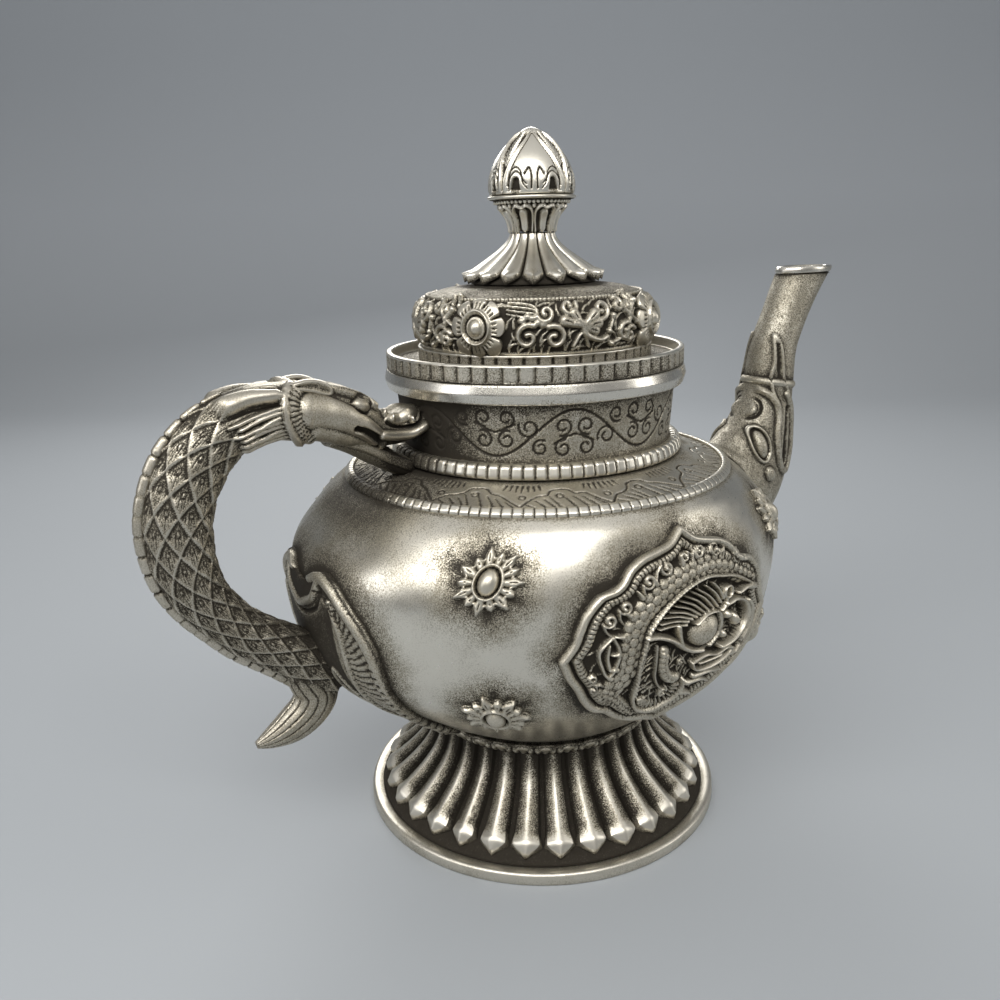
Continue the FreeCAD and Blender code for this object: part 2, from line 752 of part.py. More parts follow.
def coil_point(share, side, grow):
    # along the dragon from its neck, over the top and round to the curled tail
    turn = math.radians(coil_start + coil_sweep * share)
    radius = medallion_half_height * (coil_share + (coil_end_share - coil_share) * share ** 3)
    x = radius * coil_stretch * math.cos(turn)
    return face_point(x, medallion_height + radius * math.sin(turn), side, grow)


def relief_limb(route_shares, size, end_share, side):
    # a tapering limb along points of the medallion's plane, half sunk in the plate
    spots = []
    for x_share, z_share in route_shares:
        z = medallion_height + medallion_half_height * z_share
        spots.append(face_point(medallion_half_height * x_share, z, side, medallion_plate))
    last = len(spots) - 1
    sections = []
    for i, spot in enumerate(spots):
        along = spots[min(i + 1, last)] - spots[max(i - 1, 0)]
        width = size * (1 + (end_share - 1) * i / last)
        sections.append(oval(spot, along, V(spot.x, spot.y * 2, 0), width * dragon_height_share, width))
    return loft(sections)


def medallion_dragon(side):
    # the coiled dragon: a tapering body bent round its head, with horns, four legs and a curled tail
    steps = 14
    places = [coil_point(i / steps, side, medallion_plate) for i in range(steps + 1)]
    sections = []
    for i, place in enumerate(places):
        along = places[min(i + 1, steps)] - places[max(i - 1, 0)]
        share = i / steps
        size = dragon_thickness * (1 - dragon_taper * share ** 2)
        sections.append(oval(place, along, V(place.x, place.y * 2, 0), size * dragon_height_share, size))
    pieces = [loft(sections)]
    for route in dragon_leg_shares:
        pieces.append(relief_limb(route, dragon_leg_thickness, 0.8, side))
        foot_x, foot_z = route[-1]
        for turn in (-50, 0, 50):
            way = math.radians(math.degrees(math.atan2(foot_z, foot_x)) + turn)
            tip = (foot_x + dragon_claw_share * math.cos(way), foot_z + dragon_claw_share * math.sin(way))
            pieces.append(relief_limb([(foot_x, foot_z), tip], dragon_leg_thickness * 0.7, 0.25, side))
    for route in dragon_horn_shares:
        pieces.append(relief_limb(route, dragon_leg_thickness, 0.3, side))
    head_place = face_point(dragon_head_reach, medallion_height, side, medallion_plate)
    stretch = FreeCAD.Matrix(1.25, 0, 0, 0, 0, dragon_height_share, 0, 0, 0, 0, 0.9, 0, 0, 0, 0, 1)
    head = Part.makeSphere(dragon_head_radius).transformGeometry(stretch)
    head.rotate(O, V(0, 1, 0), dragon_head_tilt)
    head.translate(head_place)
    pieces.append(head)
    field = outward(medallion_outline(inner_frame_share - inner_frame_width_share), side)
    ground = field.cut(belly(medallion_plate))
    whole = pieces[0].fuse(pieces[1:]).common(ground)
    return max(whole.Solids, key=lambda solid: solid.Volume)


def rosette(degrees, height):
    place, way = belly_point(degrees, height)
    reach_shares = (1, rosette_inner_share, rosette_short_share, rosette_inner_share)
    points = []
    for i in range(2 * rosette_petals):
        radius = rosette_radius * reach_shares[i % 4]
        points.append(polar(radius, 180.0 * i / rosette_petals + 90, -rosette_sink))
    star = Part.Face(Part.makePolygon(points + points[:1])).extrude(V(0, 0, rosette_sink + rosette_proud))
    dome = Part.makeSphere(rosette_dome, V(0, 0, rosette_proud - rosette_dome))
    boss = Part.makeSphere(rosette_boss_radius, V(0, 0, rosette_boss_proud - rosette_boss_radius))
    boss = boss.cut(Part.makeBox(4 * rosette_radius, 4 * rosette_radius, overrun,
                                 V(-2 * rosette_radius, -2 * rosette_radius, -overrun - rosette_sink)))
    flower = star.common(dome).fuse(boss)
    flower.Placement = facing(place, way)
    return flower.cut(belly_fit)


def rosette_row(height):
    # one flower each side of the front, and the same two turned round to the back
    front = [rosette(degrees, height) for degrees in rosette_angles]
    return front + [turned_round(flower) for flower in front]


def lid_flange():
    inner = step_radius - step_width
    lip_inner = flange_radius - flange_lip
    top = flange_foot + flange_height
    chamfer = flange_lip / 3
    ring = spun((inner, flange_foot), (flange_radius - flange_notch_depth / 4, flange_foot),
                (flange_radius, top - chamfer), (flange_radius - chamfer, top), (lip_inner, top),
                (lip_inner, flange_foot + flange_plate), (inner, flange_foot + flange_plate))
    return notched(ring, flange_notches, flange_radius, flange_notch_width, flange_notch_depth, -chamfer)


def collar_radius():
    return neck_radius - sheet_wall - collar_play


def lid_collar():
    outer = collar_radius()
    low = flange_foot - collar_length
    return spun((outer - sheet_wall, low), (outer - sheet_wall / 3, low), (outer, low + sheet_wall),
                (outer, flange_foot - solder_gap), (outer - sheet_wall, flange_foot - solder_gap))


def lid_step_ring():
    low = flange_foot + flange_plate + solder_gap
    high = drum_foot - solder_gap
    inner = step_radius - step_width
    ring = spun((inner, low), (step_radius, low), (step_radius, high), (inner, high))
    return notched(ring, step_notches, step_radius, flange_notch_width, flange_notch_depth)


def drum_point(radius_share, height_share, inset=0):
    return drum_radius * radius_share - inset, drum_foot + drum_height * height_share


def lid_drum():
    # a swelling drum with a gently crowned top, open underneath
    wall = sheet_wall
    low_bulge, widest, high_bulge = [drum_point(*share) for share in drum_side_shares]
    inner_low_bulge, inner_widest, inner_high_bulge = [drum_point(*share, wall) for share in drum_side_shares]
    bore = stud_radius + solder_gap
    return spun(
        (drum_foot_radius, drum_foot), (low_bulge, widest), (high_bulge, (drum_top_radius, drum_top)),
        (flute_waist_radius, finial_foot), (bore, finial_foot), (bore, finial_foot - wall),
        (flute_waist_radius, finial_foot - wall), (drum_top_radius - wall / 2, drum_top - wall),
        (inner_high_bulge, inner_widest), (inner_low_bulge, (drum_foot_radius - wall, drum_foot)))


def lid_rope():
    ring = Part.makeTorus(drum_top_radius, rope_radius, V(0, 0, drum_top), UP)
    return ring.cut(drum_block())


def drum_block():
    # the drum's outside, filled
    low_bulge, widest, high_bulge = [drum_point(*share) for share in drum_side_shares]
    return spun((0, drum_foot - overrun), (drum_foot_radius, drum_foot - overrun), (drum_foot_radius, drum_foot),
                (low_bulge, widest), (high_bulge, (drum_top_radius, drum_top)),
                (flute_waist_radius, finial_foot), (0, finial_foot))


def lid_flowers():
    flowers = []
    block = drum_block()
    height = drum_foot + drum_height * 0.5
    for i in range(flower_count):
        degrees = 360.0 * i / flower_count + flower_turn
        place = polar(drum_radius, degrees, height)
        way = polar(1, degrees, 0)
        back = 2 * flower_rise
        disc = Part.makeCylinder(flower_radius * 0.72, back + flower_rise * 0.7, V(0, 0, -back))
        petals = []
        for j in range(flower_petals):
            petal = Part.makeCylinder(flower_radius * 0.34, back + flower_rise * 0.6, V(0, 0, -back))
            petal.translate(polar(flower_radius * 0.72, 360.0 * j / flower_petals, 0))
            petals.append(petal)
        boss = Part.makeSphere(flower_boss_radius, V(0, 0, flower_rise * 0.6))
        flower = disc.fuse(petals + [boss])
        flower.Placement = facing(place, way)
        flowers.append(flower.cut(block))
    return flowers


def finial_flare():
    top = (flute_waist_radius - flute_rise / 2, finial_waist)
    foot = (flute_foot_radius, finial_foot + seat_gap)
    return top, foot, flute_power


def finial_core():
    # the flared block under the flutes
    top, foot, power = finial_flare()
    bore = stud_radius + solder_gap
    outer = [flare_point(i / 5, top, foot, power) for i in range(6)]
    front = Part.BSplineCurve()
    front.interpolate(outer)
    high_in = V(bore, 0, outer[0].z)
    low_in = V(bore, 0, outer[-1].z)
    edges = [front.toShape(), Part.makeLine(outer[0], high_in), Part.makeLine(high_in, low_in),
             Part.makeLine(low_in, outer[-1])]
    return Part.Face(Part.Wire(Part.__sortEdges__(edges))).revolve(O, UP, 360)


def finial_flutes():
    top, foot, power = finial_flare()
    return petal_ring(flute_count, top, foot, power, flute_rise, flute_fill, flute_tip_share)


def finial_cup():
    low = finial_waist + solder_gap
    high = belt_foot
    bore = stud_radius + solder_gap
    hollow = (flute_waist_radius * 1.12, low + cup_height * 0.45)
    return spun((bore, low), (flute_waist_radius, low), (hollow, (cup_top_radius, high)), (bore, high))


def finial_belt():
    low = belt_foot + solder_gap
    high = bud_foot - solder_gap
    outer = cup_top_radius + belt_width
    return spun((0, low), (cup_top_radius, low), ((outer, (low + high) / 2), (cup_top_radius, high)), (0, high))


def finial_bud():
    high = bud_foot + bud_height
    return spun((0, bud_foot), (bud_radius * 0.93, bud_foot),
                ((bud_radius, bud_foot + bud_height * 0.16), (bud_radius * 0.86, bud_foot + bud_height * 0.42)),
                ((bud_radius * 0.52, bud_foot + bud_height * 0.72), (bud_radius * 0.16, high)),
                (0, high - bud_dimple))


def finial_stud():
    low = finial_foot - sheet_wall - nut_thickness * 1.6
    return Part.makeCylinder(stud_radius, belt_foot - low, V(0, 0, low))


def finial_nut():
    high = finial_foot - sheet_wall - solder_gap
    points = [polar(nut_radius, 60 * i, high - nut_thickness) for i in range(7)]
    block = Part.Face(Part.makePolygon(points)).extrude(V(0, 0, nut_thickness))
    hole = Part.makeCylinder(stud_radius + solder_gap, 4 * nut_thickness, V(0, 0, high - 2 * nut_thickness))
    return block.cut(hole)


def save(name, shape):
    if isinstance(shape, list):
        shape = Part.makeCompound(shape)
    shape.exportStep(os.path.join("parts", name + ".step"))
    volumes = [round(solid.Volume, 1) for solid in shape.Solids]
    print(name, "solids", len(shape.Solids), "valid", shape.isValid(), "volume", sum(volumes))


def main():
    os.makedirs("parts", exist_ok=True)
    bore = spout_bore(socket_shares)
    leaf_face = belly(leaf_thickness + solder_gap)
    neck_fit = Part.makeCylinder(neck_radius + neck_flare + solder_gap, 2 * overrun, V(0, 0, shell_neck_height))
    bead_edge = shoulder_radius + shoulder_bead_width
    bead_top = neck_foot_height + neck_bead_height + solder_gap
    ground = spun((0, shoulder_height - overrun), (bead_edge, shoulder_height - overrun),
                  (bead_edge, shoulder_height + shoulder_bead_height / 2),
                  (neck_radius + neck_bead_width, bead_top), (0, bead_top))
    save("foot_plate", foot_plate())
    save("foot_stem", foot_stem())
    save("foot_petals", foot_petals())
    save("waist_ring", waist_ring())
    save("belly_shell", body_shell(bore))
    save("shoulder_collar", shoulder_collar())
    save("shoulder_bead", shoulder_bead())
    save("neck_bead", neck_bead())
    save("neck_tube", neck_tube())
    save("mouth_band", mouth_band())
    socket = spout_socket()
    save("spout_socket", socket)
    save("spout_relief", spout_relief())
    save("spout_ring", spout_ring())
    save("spout_tube", spout_tube())
    save("spout_lip", spout_lip())
    grip = handle_grip(leaf_face)
    tail = handle_tail(leaf_face, grip)
    skull = handle_skull(neck_fit).cut(grip)
    save("handle_grip", grip)
    save("handle_tail", tail)
    save("handle_skull", skull)
    save("handle_jaw", handle_jaw(neck_fit, skull, ground))
    horns = handle_horns(skull, grip)
    save("handle_horns", horns)
    gill = handle_gill(skull, grip, horns)
    save("handle_gill", gill)
    mane = handle_mane(grip, gill, horns)
    save("handle_mane", mane)
    save("handle_ridge", handle_ridge(grip, leaf_face, tail, mane))
    save("leaf_plate", leaf_plate())
    plate = medallion(-1)
    dragon = medallion_dragon(-1)
    save("medallion_front", plate)
    save("medallion_dragon_front", dragon)
    save("medallion_back", turned_round(plate))
    save("medallion_dragon_back", turned_round(dragon))
    save("upper_rosettes", rosette_row(upper_rosette_height))
    save("lower_rosettes", rosette_row(lower_rosette_height))
    save("lid_flange", lid_flange())
    save("lid_collar", lid_collar())
    save("lid_step_ring", lid_step_ring())
    save("lid_drum", lid_drum())
    save("lid_rope", lid_rope())
    save("lid_flowers", lid_flowers())
    save("finial_core", finial_core())
    save("finial_flutes", finial_flutes())
    save("finial_cup", finial_cup())
    save("finial_belt", finial_belt())
    save("finial_bud", finial_bud())
    save("finial_stud", finial_stud())
    save("finial_nut", finial_nut())


main()
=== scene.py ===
import json
import math
import bmesh
import bpy
import numpy as np
from mathutils import Matrix, Vector
from mathutils.bvhtree import BVHTree


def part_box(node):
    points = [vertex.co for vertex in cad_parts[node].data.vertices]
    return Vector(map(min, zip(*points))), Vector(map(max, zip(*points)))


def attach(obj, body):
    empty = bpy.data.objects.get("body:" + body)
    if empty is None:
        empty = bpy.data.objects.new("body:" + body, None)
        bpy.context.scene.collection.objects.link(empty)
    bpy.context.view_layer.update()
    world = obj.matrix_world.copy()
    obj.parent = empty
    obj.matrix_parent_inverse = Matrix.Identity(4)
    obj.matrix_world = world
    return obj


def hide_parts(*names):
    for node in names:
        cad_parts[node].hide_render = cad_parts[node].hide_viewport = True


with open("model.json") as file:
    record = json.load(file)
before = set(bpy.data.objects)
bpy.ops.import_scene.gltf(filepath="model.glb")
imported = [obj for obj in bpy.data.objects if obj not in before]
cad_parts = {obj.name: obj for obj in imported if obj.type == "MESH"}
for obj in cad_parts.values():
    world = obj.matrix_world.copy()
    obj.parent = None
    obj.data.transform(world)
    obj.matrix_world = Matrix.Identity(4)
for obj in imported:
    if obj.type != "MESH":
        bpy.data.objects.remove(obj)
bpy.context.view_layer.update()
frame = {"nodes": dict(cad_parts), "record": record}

mm = 0.001                     # sizes below are in millimetres, meshes in metres
nodes = frame["nodes"]
pot = "root"                   # the body that stands
lid = "lid"                    # the body that lifts off
print("frame loaded:", len(nodes), "nodes")

# the camera stands in front and a little to the handle's side, and looks slightly down
camera = {"distance": 225.3, "height": 145.6, "turn": -34.0, "yaw": -2.382, "pitch": 16.301, "roll": -1.593,
          "lens": 33.05, "sensor": 36.0}


def addObject(name, data):
    obj = bpy.data.objects.new(name, data)
    bpy.context.scene.collection.objects.link(obj)
    return obj


def makeCamera():
    data = bpy.data.cameras.new("camera")
    data.lens = camera["lens"]
    data.sensor_width = camera["sensor"]
    data.clip_start = 0.01
    obj = addObject("camera", data)
    turn = math.radians(camera["turn"])
    place = Matrix.Rotation(turn, 4, "Z") @ Vector((0, -camera["distance"] * mm, camera["height"] * mm))
    aim = Matrix.Rotation(turn - math.radians(camera["yaw"]), 4, "Z")
    tip = Matrix.Rotation(math.radians(90 - camera["pitch"]), 4, "X")
    level = Matrix.Rotation(math.radians(camera["roll"]), 4, "Z")
    obj.matrix_world = Matrix.Translation(place) @ aim @ tip @ level
    bpy.context.scene.camera = obj


# lamps: name, place in mm from the pot, size in mm, strength in watts, tint; world and paper: colours by height
studio = {
    "lamps": [
        ("overhead", (-300, -330, 540), (820, 240), 3.7, (1.0, 0.99, 0.965)),
        ("left bank", (-640, 60, 300), (240, 360), 0.7, (0.98, 0.985, 1.0)),
        ("right bank", (560, -430, 300), (200, 420), 0.85, (1.0, 0.985, 0.95)),
        ("front panel", (-450, -660, 210), (720, 360), 0.20, (1.0, 0.99, 0.97)),
        ("back rim", (220, 520, 420), (420, 260), 1.9, (1.0, 0.99, 0.97)),
    ],
    "aim": (0, 0, 70),
    "world": [(0.30, (0.09, 0.09, 0.085)), (0.52, (0.11, 0.11, 0.11)), (0.90, (0.60, 0.60, 0.60))],
    "paper": [(0.0, (0.355, 0.375, 0.395)), (0.18, (0.42, 0.445, 0.475)), (0.6, (0.44, 0.47, 0.505))],
    "floorReach": 1.4, "wallStart": 0.55, "wallRound": 0.35, "wallHeight": 1.6,
}


def makeLamps():
    aim = Vector(studio["aim"]) * mm
    for name, place, size, watts, tint in studio["lamps"]:
        data = bpy.data.lights.new(name, "AREA")
        data.shape = "RECTANGLE"
        data.size = size[0] * mm
        data.size_y = size[1] * mm
        data.energy = watts
        data.color = tint
        obj = addObject(name, data)
        place = Vector(place) * mm
        obj.matrix_world = Matrix.Translation(place) @ (aim - place).to_track_quat("-Z", "Y").to_matrix().to_4x4()


def setSocket(tree, socket, value):
    if isinstance(value, (int, float)):
        socket.default_value = value
    elif isinstance(value, tuple):
        socket.default_value = (*value, 1)
    else:
        tree.links.new(value, socket)


def mathNode(tree, kind, a, b):
    node = tree.nodes.new("ShaderNodeMath")
    node.operation = kind
    for socket, value in zip(node.inputs, (a, b)):
        setSocket(tree, socket, value)
    return node.outputs[0]


def heightRamp(tree, output, stops, target):
    # colours that change with height; a direction runs from -1 to 1, a place in metres from 0
    where = tree.nodes.new("ShaderNodeTexCoord")
    split = tree.nodes.new("ShaderNodeSeparateXYZ")
    ramp = tree.nodes.new("ShaderNodeValToRGB")
    tree.links.new(where.outputs[output], split.inputs[0])
    height = split.outputs["Z"]
    if output == "Generated":
        height = mathNode(tree, "ADD", mathNode(tree, "MULTIPLY", height, 0.5), 0.5)
    tree.links.new(height, ramp.inputs[0])
    tree.links.new(ramp.outputs[0], target)
    marks = ramp.color_ramp.elements
    for k in (0, 1):
        marks[k].position, marks[k].color = stops[2 * k][0], (*stops[2 * k][1], 1)
    marks.new(stops[1][0]).color = (*stops[1][1], 1)


def makeWorld():
    world = bpy.data.worlds.new("studio")
    bpy.context.scene.world = world
    world.use_nodes = True
    tree = world.node_tree
    heightRamp(tree, "Generated", studio["world"], tree.nodes["Background"].inputs["Color"])


def makeFloor():
    # floor and wall in one sheet: a strip turned up behind the pot, pulled sideways
    bm = bmesh.new()
    reach, start, curve, tall = (studio[k] for k in ("floorReach", "wallStart", "wallRound", "wallHeight"))
    turn = math.radians(camera["turn"])
    line = [(-reach, 0.0), (start, 0.0)]
    line += [(start + curve * math.sin(a), curve - curve * math.cos(a)) for a in np.linspace(0.1, math.pi / 2, 14)]
    line.append((start + curve, tall))
    verts = [bm.verts.new((-reach * 1.6, y, z)) for y, z in line]
    edges = [bm.edges.new(pair) for pair in zip(verts, verts[1:])]
    pulled = bmesh.ops.extrude_edge_only(bm, edges=edges)["geom"]
    moved = [g for g in pulled if isinstance(g, bmesh.types.BMVert)]
    bmesh.ops.translate(bm, verts=moved, vec=(reach * 3.2, 0, 0))
    bmesh.ops.rotate(bm, verts=bm.verts, cent=(0, 0, 0), matrix=Matrix.Rotation(turn, 3, "Z"))
    bmesh.ops.recalc_face_normals(bm, faces=bm.faces)
    mesh = bpy.data.meshes.new("studio_floor")
    bm.to_mesh(mesh)
    bm.free()
    mesh.polygons.foreach_set("use_smooth", [True] * len(mesh.polygons))
    floor = addObject("studio_floor", mesh)
    material = bpy.data.materials.new("studio paper")
    material.use_nodes = True
    tree = material.node_tree
    shader = tree.nodes["Principled BSDF"]
    shader.inputs["Roughness"].default_value = 0.62
    shader.inputs["Specular IOR Level"].default_value = 0.35
    heightRamp(tree, "Object", studio["paper"], shader.inputs["Base Color"])
    mesh.materials.append(material)


# old silver: bright on what hands rub, black and brown in the hollows, with a speckled edge between; the same black
# also serves as painted shade
silver = {
    "haze": (0.361, 0.329, 0.258), "black": (0.034, 0.028, 0.020),
    "polish": 0.33, "dullness": 0.26, "grainSize": 3600.0, "blotchSize": 110.0, "grain": 3.4, "mottle": 0.8,
    "blackRange": (0.28, 0.84), "hazeRange": (0.05, 0.62), "rubbed": 0.35,
}


def mixColour(tree, share, a, b):
    node = tree.nodes.new("ShaderNodeMix")
    node.data_type = "RGBA"
    for name, value in (("Factor_Float", share), ("A_Color", a), ("B_Color", b)):
        setSocket(tree, next(s for s in node.inputs if s.identifier == name), value)
    return next(s for s in node.outputs if s.identifier == "Result_Color")


def mapRange(tree, value, low, high):
    node = tree.nodes.new("ShaderNodeMapRange")
    node.interpolation_type = "SMOOTHSTEP"
    for socket, number in zip(node.inputs, (value, low, high)):
        setSocket(tree, socket, number)
    return node.outputs[0]


def noiseOf(tree, where, scale, detail, rough):
    node = tree.nodes.new("ShaderNodeTexNoise")
    node.inputs["Scale"].default_value = scale
    node.inputs["Detail"].default_value = detail
    node.inputs["Roughness"].default_value = rough
    tree.links.new(where, node.inputs["Vector"])
    return node.outputs["Fac"]


def patinaGroup():
    # tarnish with painted shade, and wear, go in; colour, roughness, metal and a fine surface height come out
    group = bpy.data.node_groups.new("silver patina", "ShaderNodeTree")
    face = group.interface
    for name, kind in (("Tarnish_and_shade", "NodeSocketFloat"), ("Worn", "NodeSocketFloat"), ("Age", "NodeSocketFloat"),
                       ("Bright", "NodeSocketColor")):
        face.new_socket(name, in_out="INPUT", socket_type=kind)
    for name, kind in (("Colour", "NodeSocketColor"), ("Roughness", "NodeSocketFloat"),
                       ("Metallic", "NodeSocketFloat"), ("Height", "NodeSocketFloat")):
        face.new_socket(name, in_out="OUTPUT", socket_type=kind)
    goesIn = group.nodes.new("NodeGroupInput")
    goesOut = group.nodes.new("NodeGroupOutput")
    where = group.nodes.new("ShaderNodeTexCoord").outputs["Object"]
    grain = noiseOf(group, where, silver["grainSize"], 2.0, 0.7)
    mottle = noiseOf(group, where, silver["blotchSize"] * 5, 4.0, 0.65)
    blotch = noiseOf(group, where, silver["blotchSize"], 3.0, 0.5)
    tarnish_and_shade, worn = goesIn.outputs["Tarnish_and_shade"], goesIn.outputs["Worn"]

    def add(a, b):
        return mathNode(group, "ADD", a, b)

    def take(a, b):
        return mathNode(group, "SUBTRACT", a, b)

    def times(a, b):
        return mathNode(group, "MULTIPLY", a, b)

    # the speckled edge: grain and mottle, strongest where the tarnish and painted shade is middling, then a soft step
    uneven = add(times(take(grain, 0.5), silver["grain"]), times(take(mottle, 0.5), silver["mottle"]))
    uneven = times(uneven, add(times(times(tarnish_and_shade, take(1.12, tarnish_and_shade)), 1.9), 0.10))
    level = take(add(tarnish_and_shade, uneven), times(worn, silver["rubbed"]))
    black = mapRange(group, level, *silver["blackRange"])
    ageing = times(add(take(blotch, 0.5), 0.25), goesIn.outputs["Age"])
    haze = mapRange(group, add(level, ageing), *silver["hazeRange"])
    colour = mixColour(group, haze, goesIn.outputs["Bright"], silver["haze"])
    colour = mixColour(group, black, colour, silver["black"])
    rough = add(add(times(haze, 0.14), times(black, silver["dullness"])), silver["polish"])
    rough = take(add(rough, times(take(mottle, 0.5), 0.16)), times(worn, 0.06))
    metal = take(1.0, times(black, 0.45))
    height = add(times(grain, 0.35), times(mottle, 0.65))
    for name, value in (("Colour", colour), ("Roughness", rough), ("Metallic", metal), ("Height", height)):
        group.links.new(value, goesOut.inputs[name])
    return group


# one finish per slot: bright colour, how aged it is, depth of the fine surface in mm, how much duller than polished
finishes = {
    "polished_silver": ((0.72, 0.69, 0.62), 0.25, 0.012, -0.04),
    "belly_silver": ((0.76, 0.725, 0.64), 0.65, 0.028, 0.0),
    "foot_silver": ((0.66, 0.625, 0.545), 0.75, 0.030, 0.12),
    "relief_silver": ((0.62, 0.58, 0.49), 0.70, 0.022, 0.12),
    "engraved_silver": ((0.62, 0.59, 0.52), 0.9, 0.022, 0.05),
    "bead_silver": ((0.72, 0.685, 0.60), 0.45, 0.012, 0.06),
    "spout_silver": ((0.60, 0.57, 0.49), 0.60, 0.016, 0.10),
    "handle_silver": ((0.58, 0.54, 0.46), 0.65, 0.024, 0.07),
    "leaf_silver": ((0.57, 0.535, 0.455), 0.70, 0.024, 0.10),
    "lid_silver": ((0.60, 0.56, 0.475), 0.70, 0.020, 0.08),
    "finial_silver": ((0.73, 0.695, 0.61), 0.45, 0.014, 0.07),
    "plain_silver": ((0.65, 0.63, 0.57), 0.60, 0.015, 0.0),
}


def makeSilver(slot, patina, marked=True):
    bright, age, depth, dull = finishes[slot]
    material = bpy.data.materials.new(slot.replace("_", " ") + ("" if marked else " sheet"))
    material.use_nodes = True
    tree = material.node_tree
    shader = tree.nodes["Principled BSDF"]
    wear = tree.nodes.new("ShaderNodeGroup")
    wear.node_tree = patina
    wear.inputs["Age"].default_value = age
    wear.inputs["Bright"].default_value = (*bright, 1)
    wear.inputs["Tarnish_and_shade"].default_value = 0.25
    if marked:
        for name in ("Tarnish_and_shade", "Worn"):
            mark = tree.nodes.new("ShaderNodeAttribute")
            mark.attribute_name = name.lower()
            tree.links.new(mark.outputs["Fac"], wear.inputs[name])
    bump = tree.nodes.new("ShaderNodeBump")
    bump.inputs["Distance"].default_value = depth * mm
    bump.inputs["Strength"].default_value = 1.0
    tree.links.new(wear.outputs["Height"], bump.inputs["Height"])
    tree.links.new(wear.outputs["Colour"], shader.inputs["Base Color"])
    tree.links.new(mathNode(tree, "ADD", wear.outputs["Roughness"], dull), shader.inputs["Roughness"])
    tree.links.new(wear.outputs["Metallic"], shader.inputs["Metallic"])
    tree.links.new(bump.outputs["Normal"], shader.inputs["Normal"])
    return material


makeCamera()
makeLamps()
makeWorld()
makeFloor()
patina = patinaGroup()
silvers = {slot: makeSilver(slot, patina) for slot in finishes}
plainSilvers = {slot: makeSilver(slot, patina, False) for slot in finishes}
for part in frame["record"]["subparts"]:
    sheet = nodes[part["node"]].data
    sheet.materials.clear()
    sheet.materials.append(plainSilvers[part["material_slot"]])
print("studio and silver made")


# shapes in a plane, in mm
def smoothLine(points, steps=8):
    # a soft curve through a few points
    p = np.array(points, float)
    p = np.vstack([2 * p[0] - p[1], p, 2 * p[-1] - p[-2]])
    out = []
    for a, b, c, d in zip(p, p[1:], p[2:], p[3:]):
        for t in np.arange(steps) / steps:
            out.append(0.5 * (2 * b + (c - a) * t + (2 * a - 5 * b + 4 * c - d) * t ** 2
                              + (3 * b - a - 3 * c + d) * t ** 3))
    out.append(p[-2])
    return np.array(out)


def spiral(x, y, radius, turns, start, hand, eye):
    # from the outside in
    t = np.linspace(0, 1, max(10, int(16 * turns)))
    a = math.radians(start) + hand * 2 * math.pi * turns * t
    r = radius * (1 - (1 - eye) * t)
    return np.stack([x + r * np.cos(a), y + r * np.sin(a)], 1)


def runOf(line):
    # the length from the start to each point
    return np.concatenate([[0], np.cumsum(np.hypot(*(line[1:] - line[:-1]).T))])


def wayOf(turn):
    return np.array([math.cos(turn), math.sin(turn)])


def nearLine(points, x, y):
    # distance to a line, and how far along it
    best = np.full(x.shape, 1e9)
    share = np.zeros(x.shape)
    runs = np.hypot(*(points[1:] - points[:-1]).T)
    total = max(runs.sum(), 1e-9)
    done = 0.0
    for a, b, run in zip(points, points[1:], runs):
        d = b - a
        t = np.clip(((x - a[0]) * d[0] + (y - a[1]) * d[1]) / max(run * run, 1e-12), 0, 1)
        ex = x - a[0] - t * d[0]
        ey = y - a[1] - t * d[1]
        gap = ex * ex + ey * ey
        near = gap < best
        best = np.where(near, gap, best)
        share = np.where(near, (done + t * run) / total, share)
        done += run
    return np.sqrt(best), share


def soften(field, cells, wrap):
    # three passes of a running mean
    for axis in (0, 1) * 3:
        size = min(cells, field.shape[axis] - 2)
        pad = [(0, 0), (0, 0)]
        pad[axis] = (size + 1, size)
        run = np.cumsum(np.pad(field, pad, mode="wrap" if wrap and axis == 1 else "edge"), axis=axis)
        top = np.take(run, range(2 * size + 1, run.shape[axis]), axis=axis)
        low = np.take(run, range(0, run.shape[axis] - 2 * size - 1), axis=axis)
        field = (top - low) / (2 * size + 1)
    return field


def smoothStep(value):
    t = np.clip(value, 0, 1)
    return t * t * (3 - 2 * t)


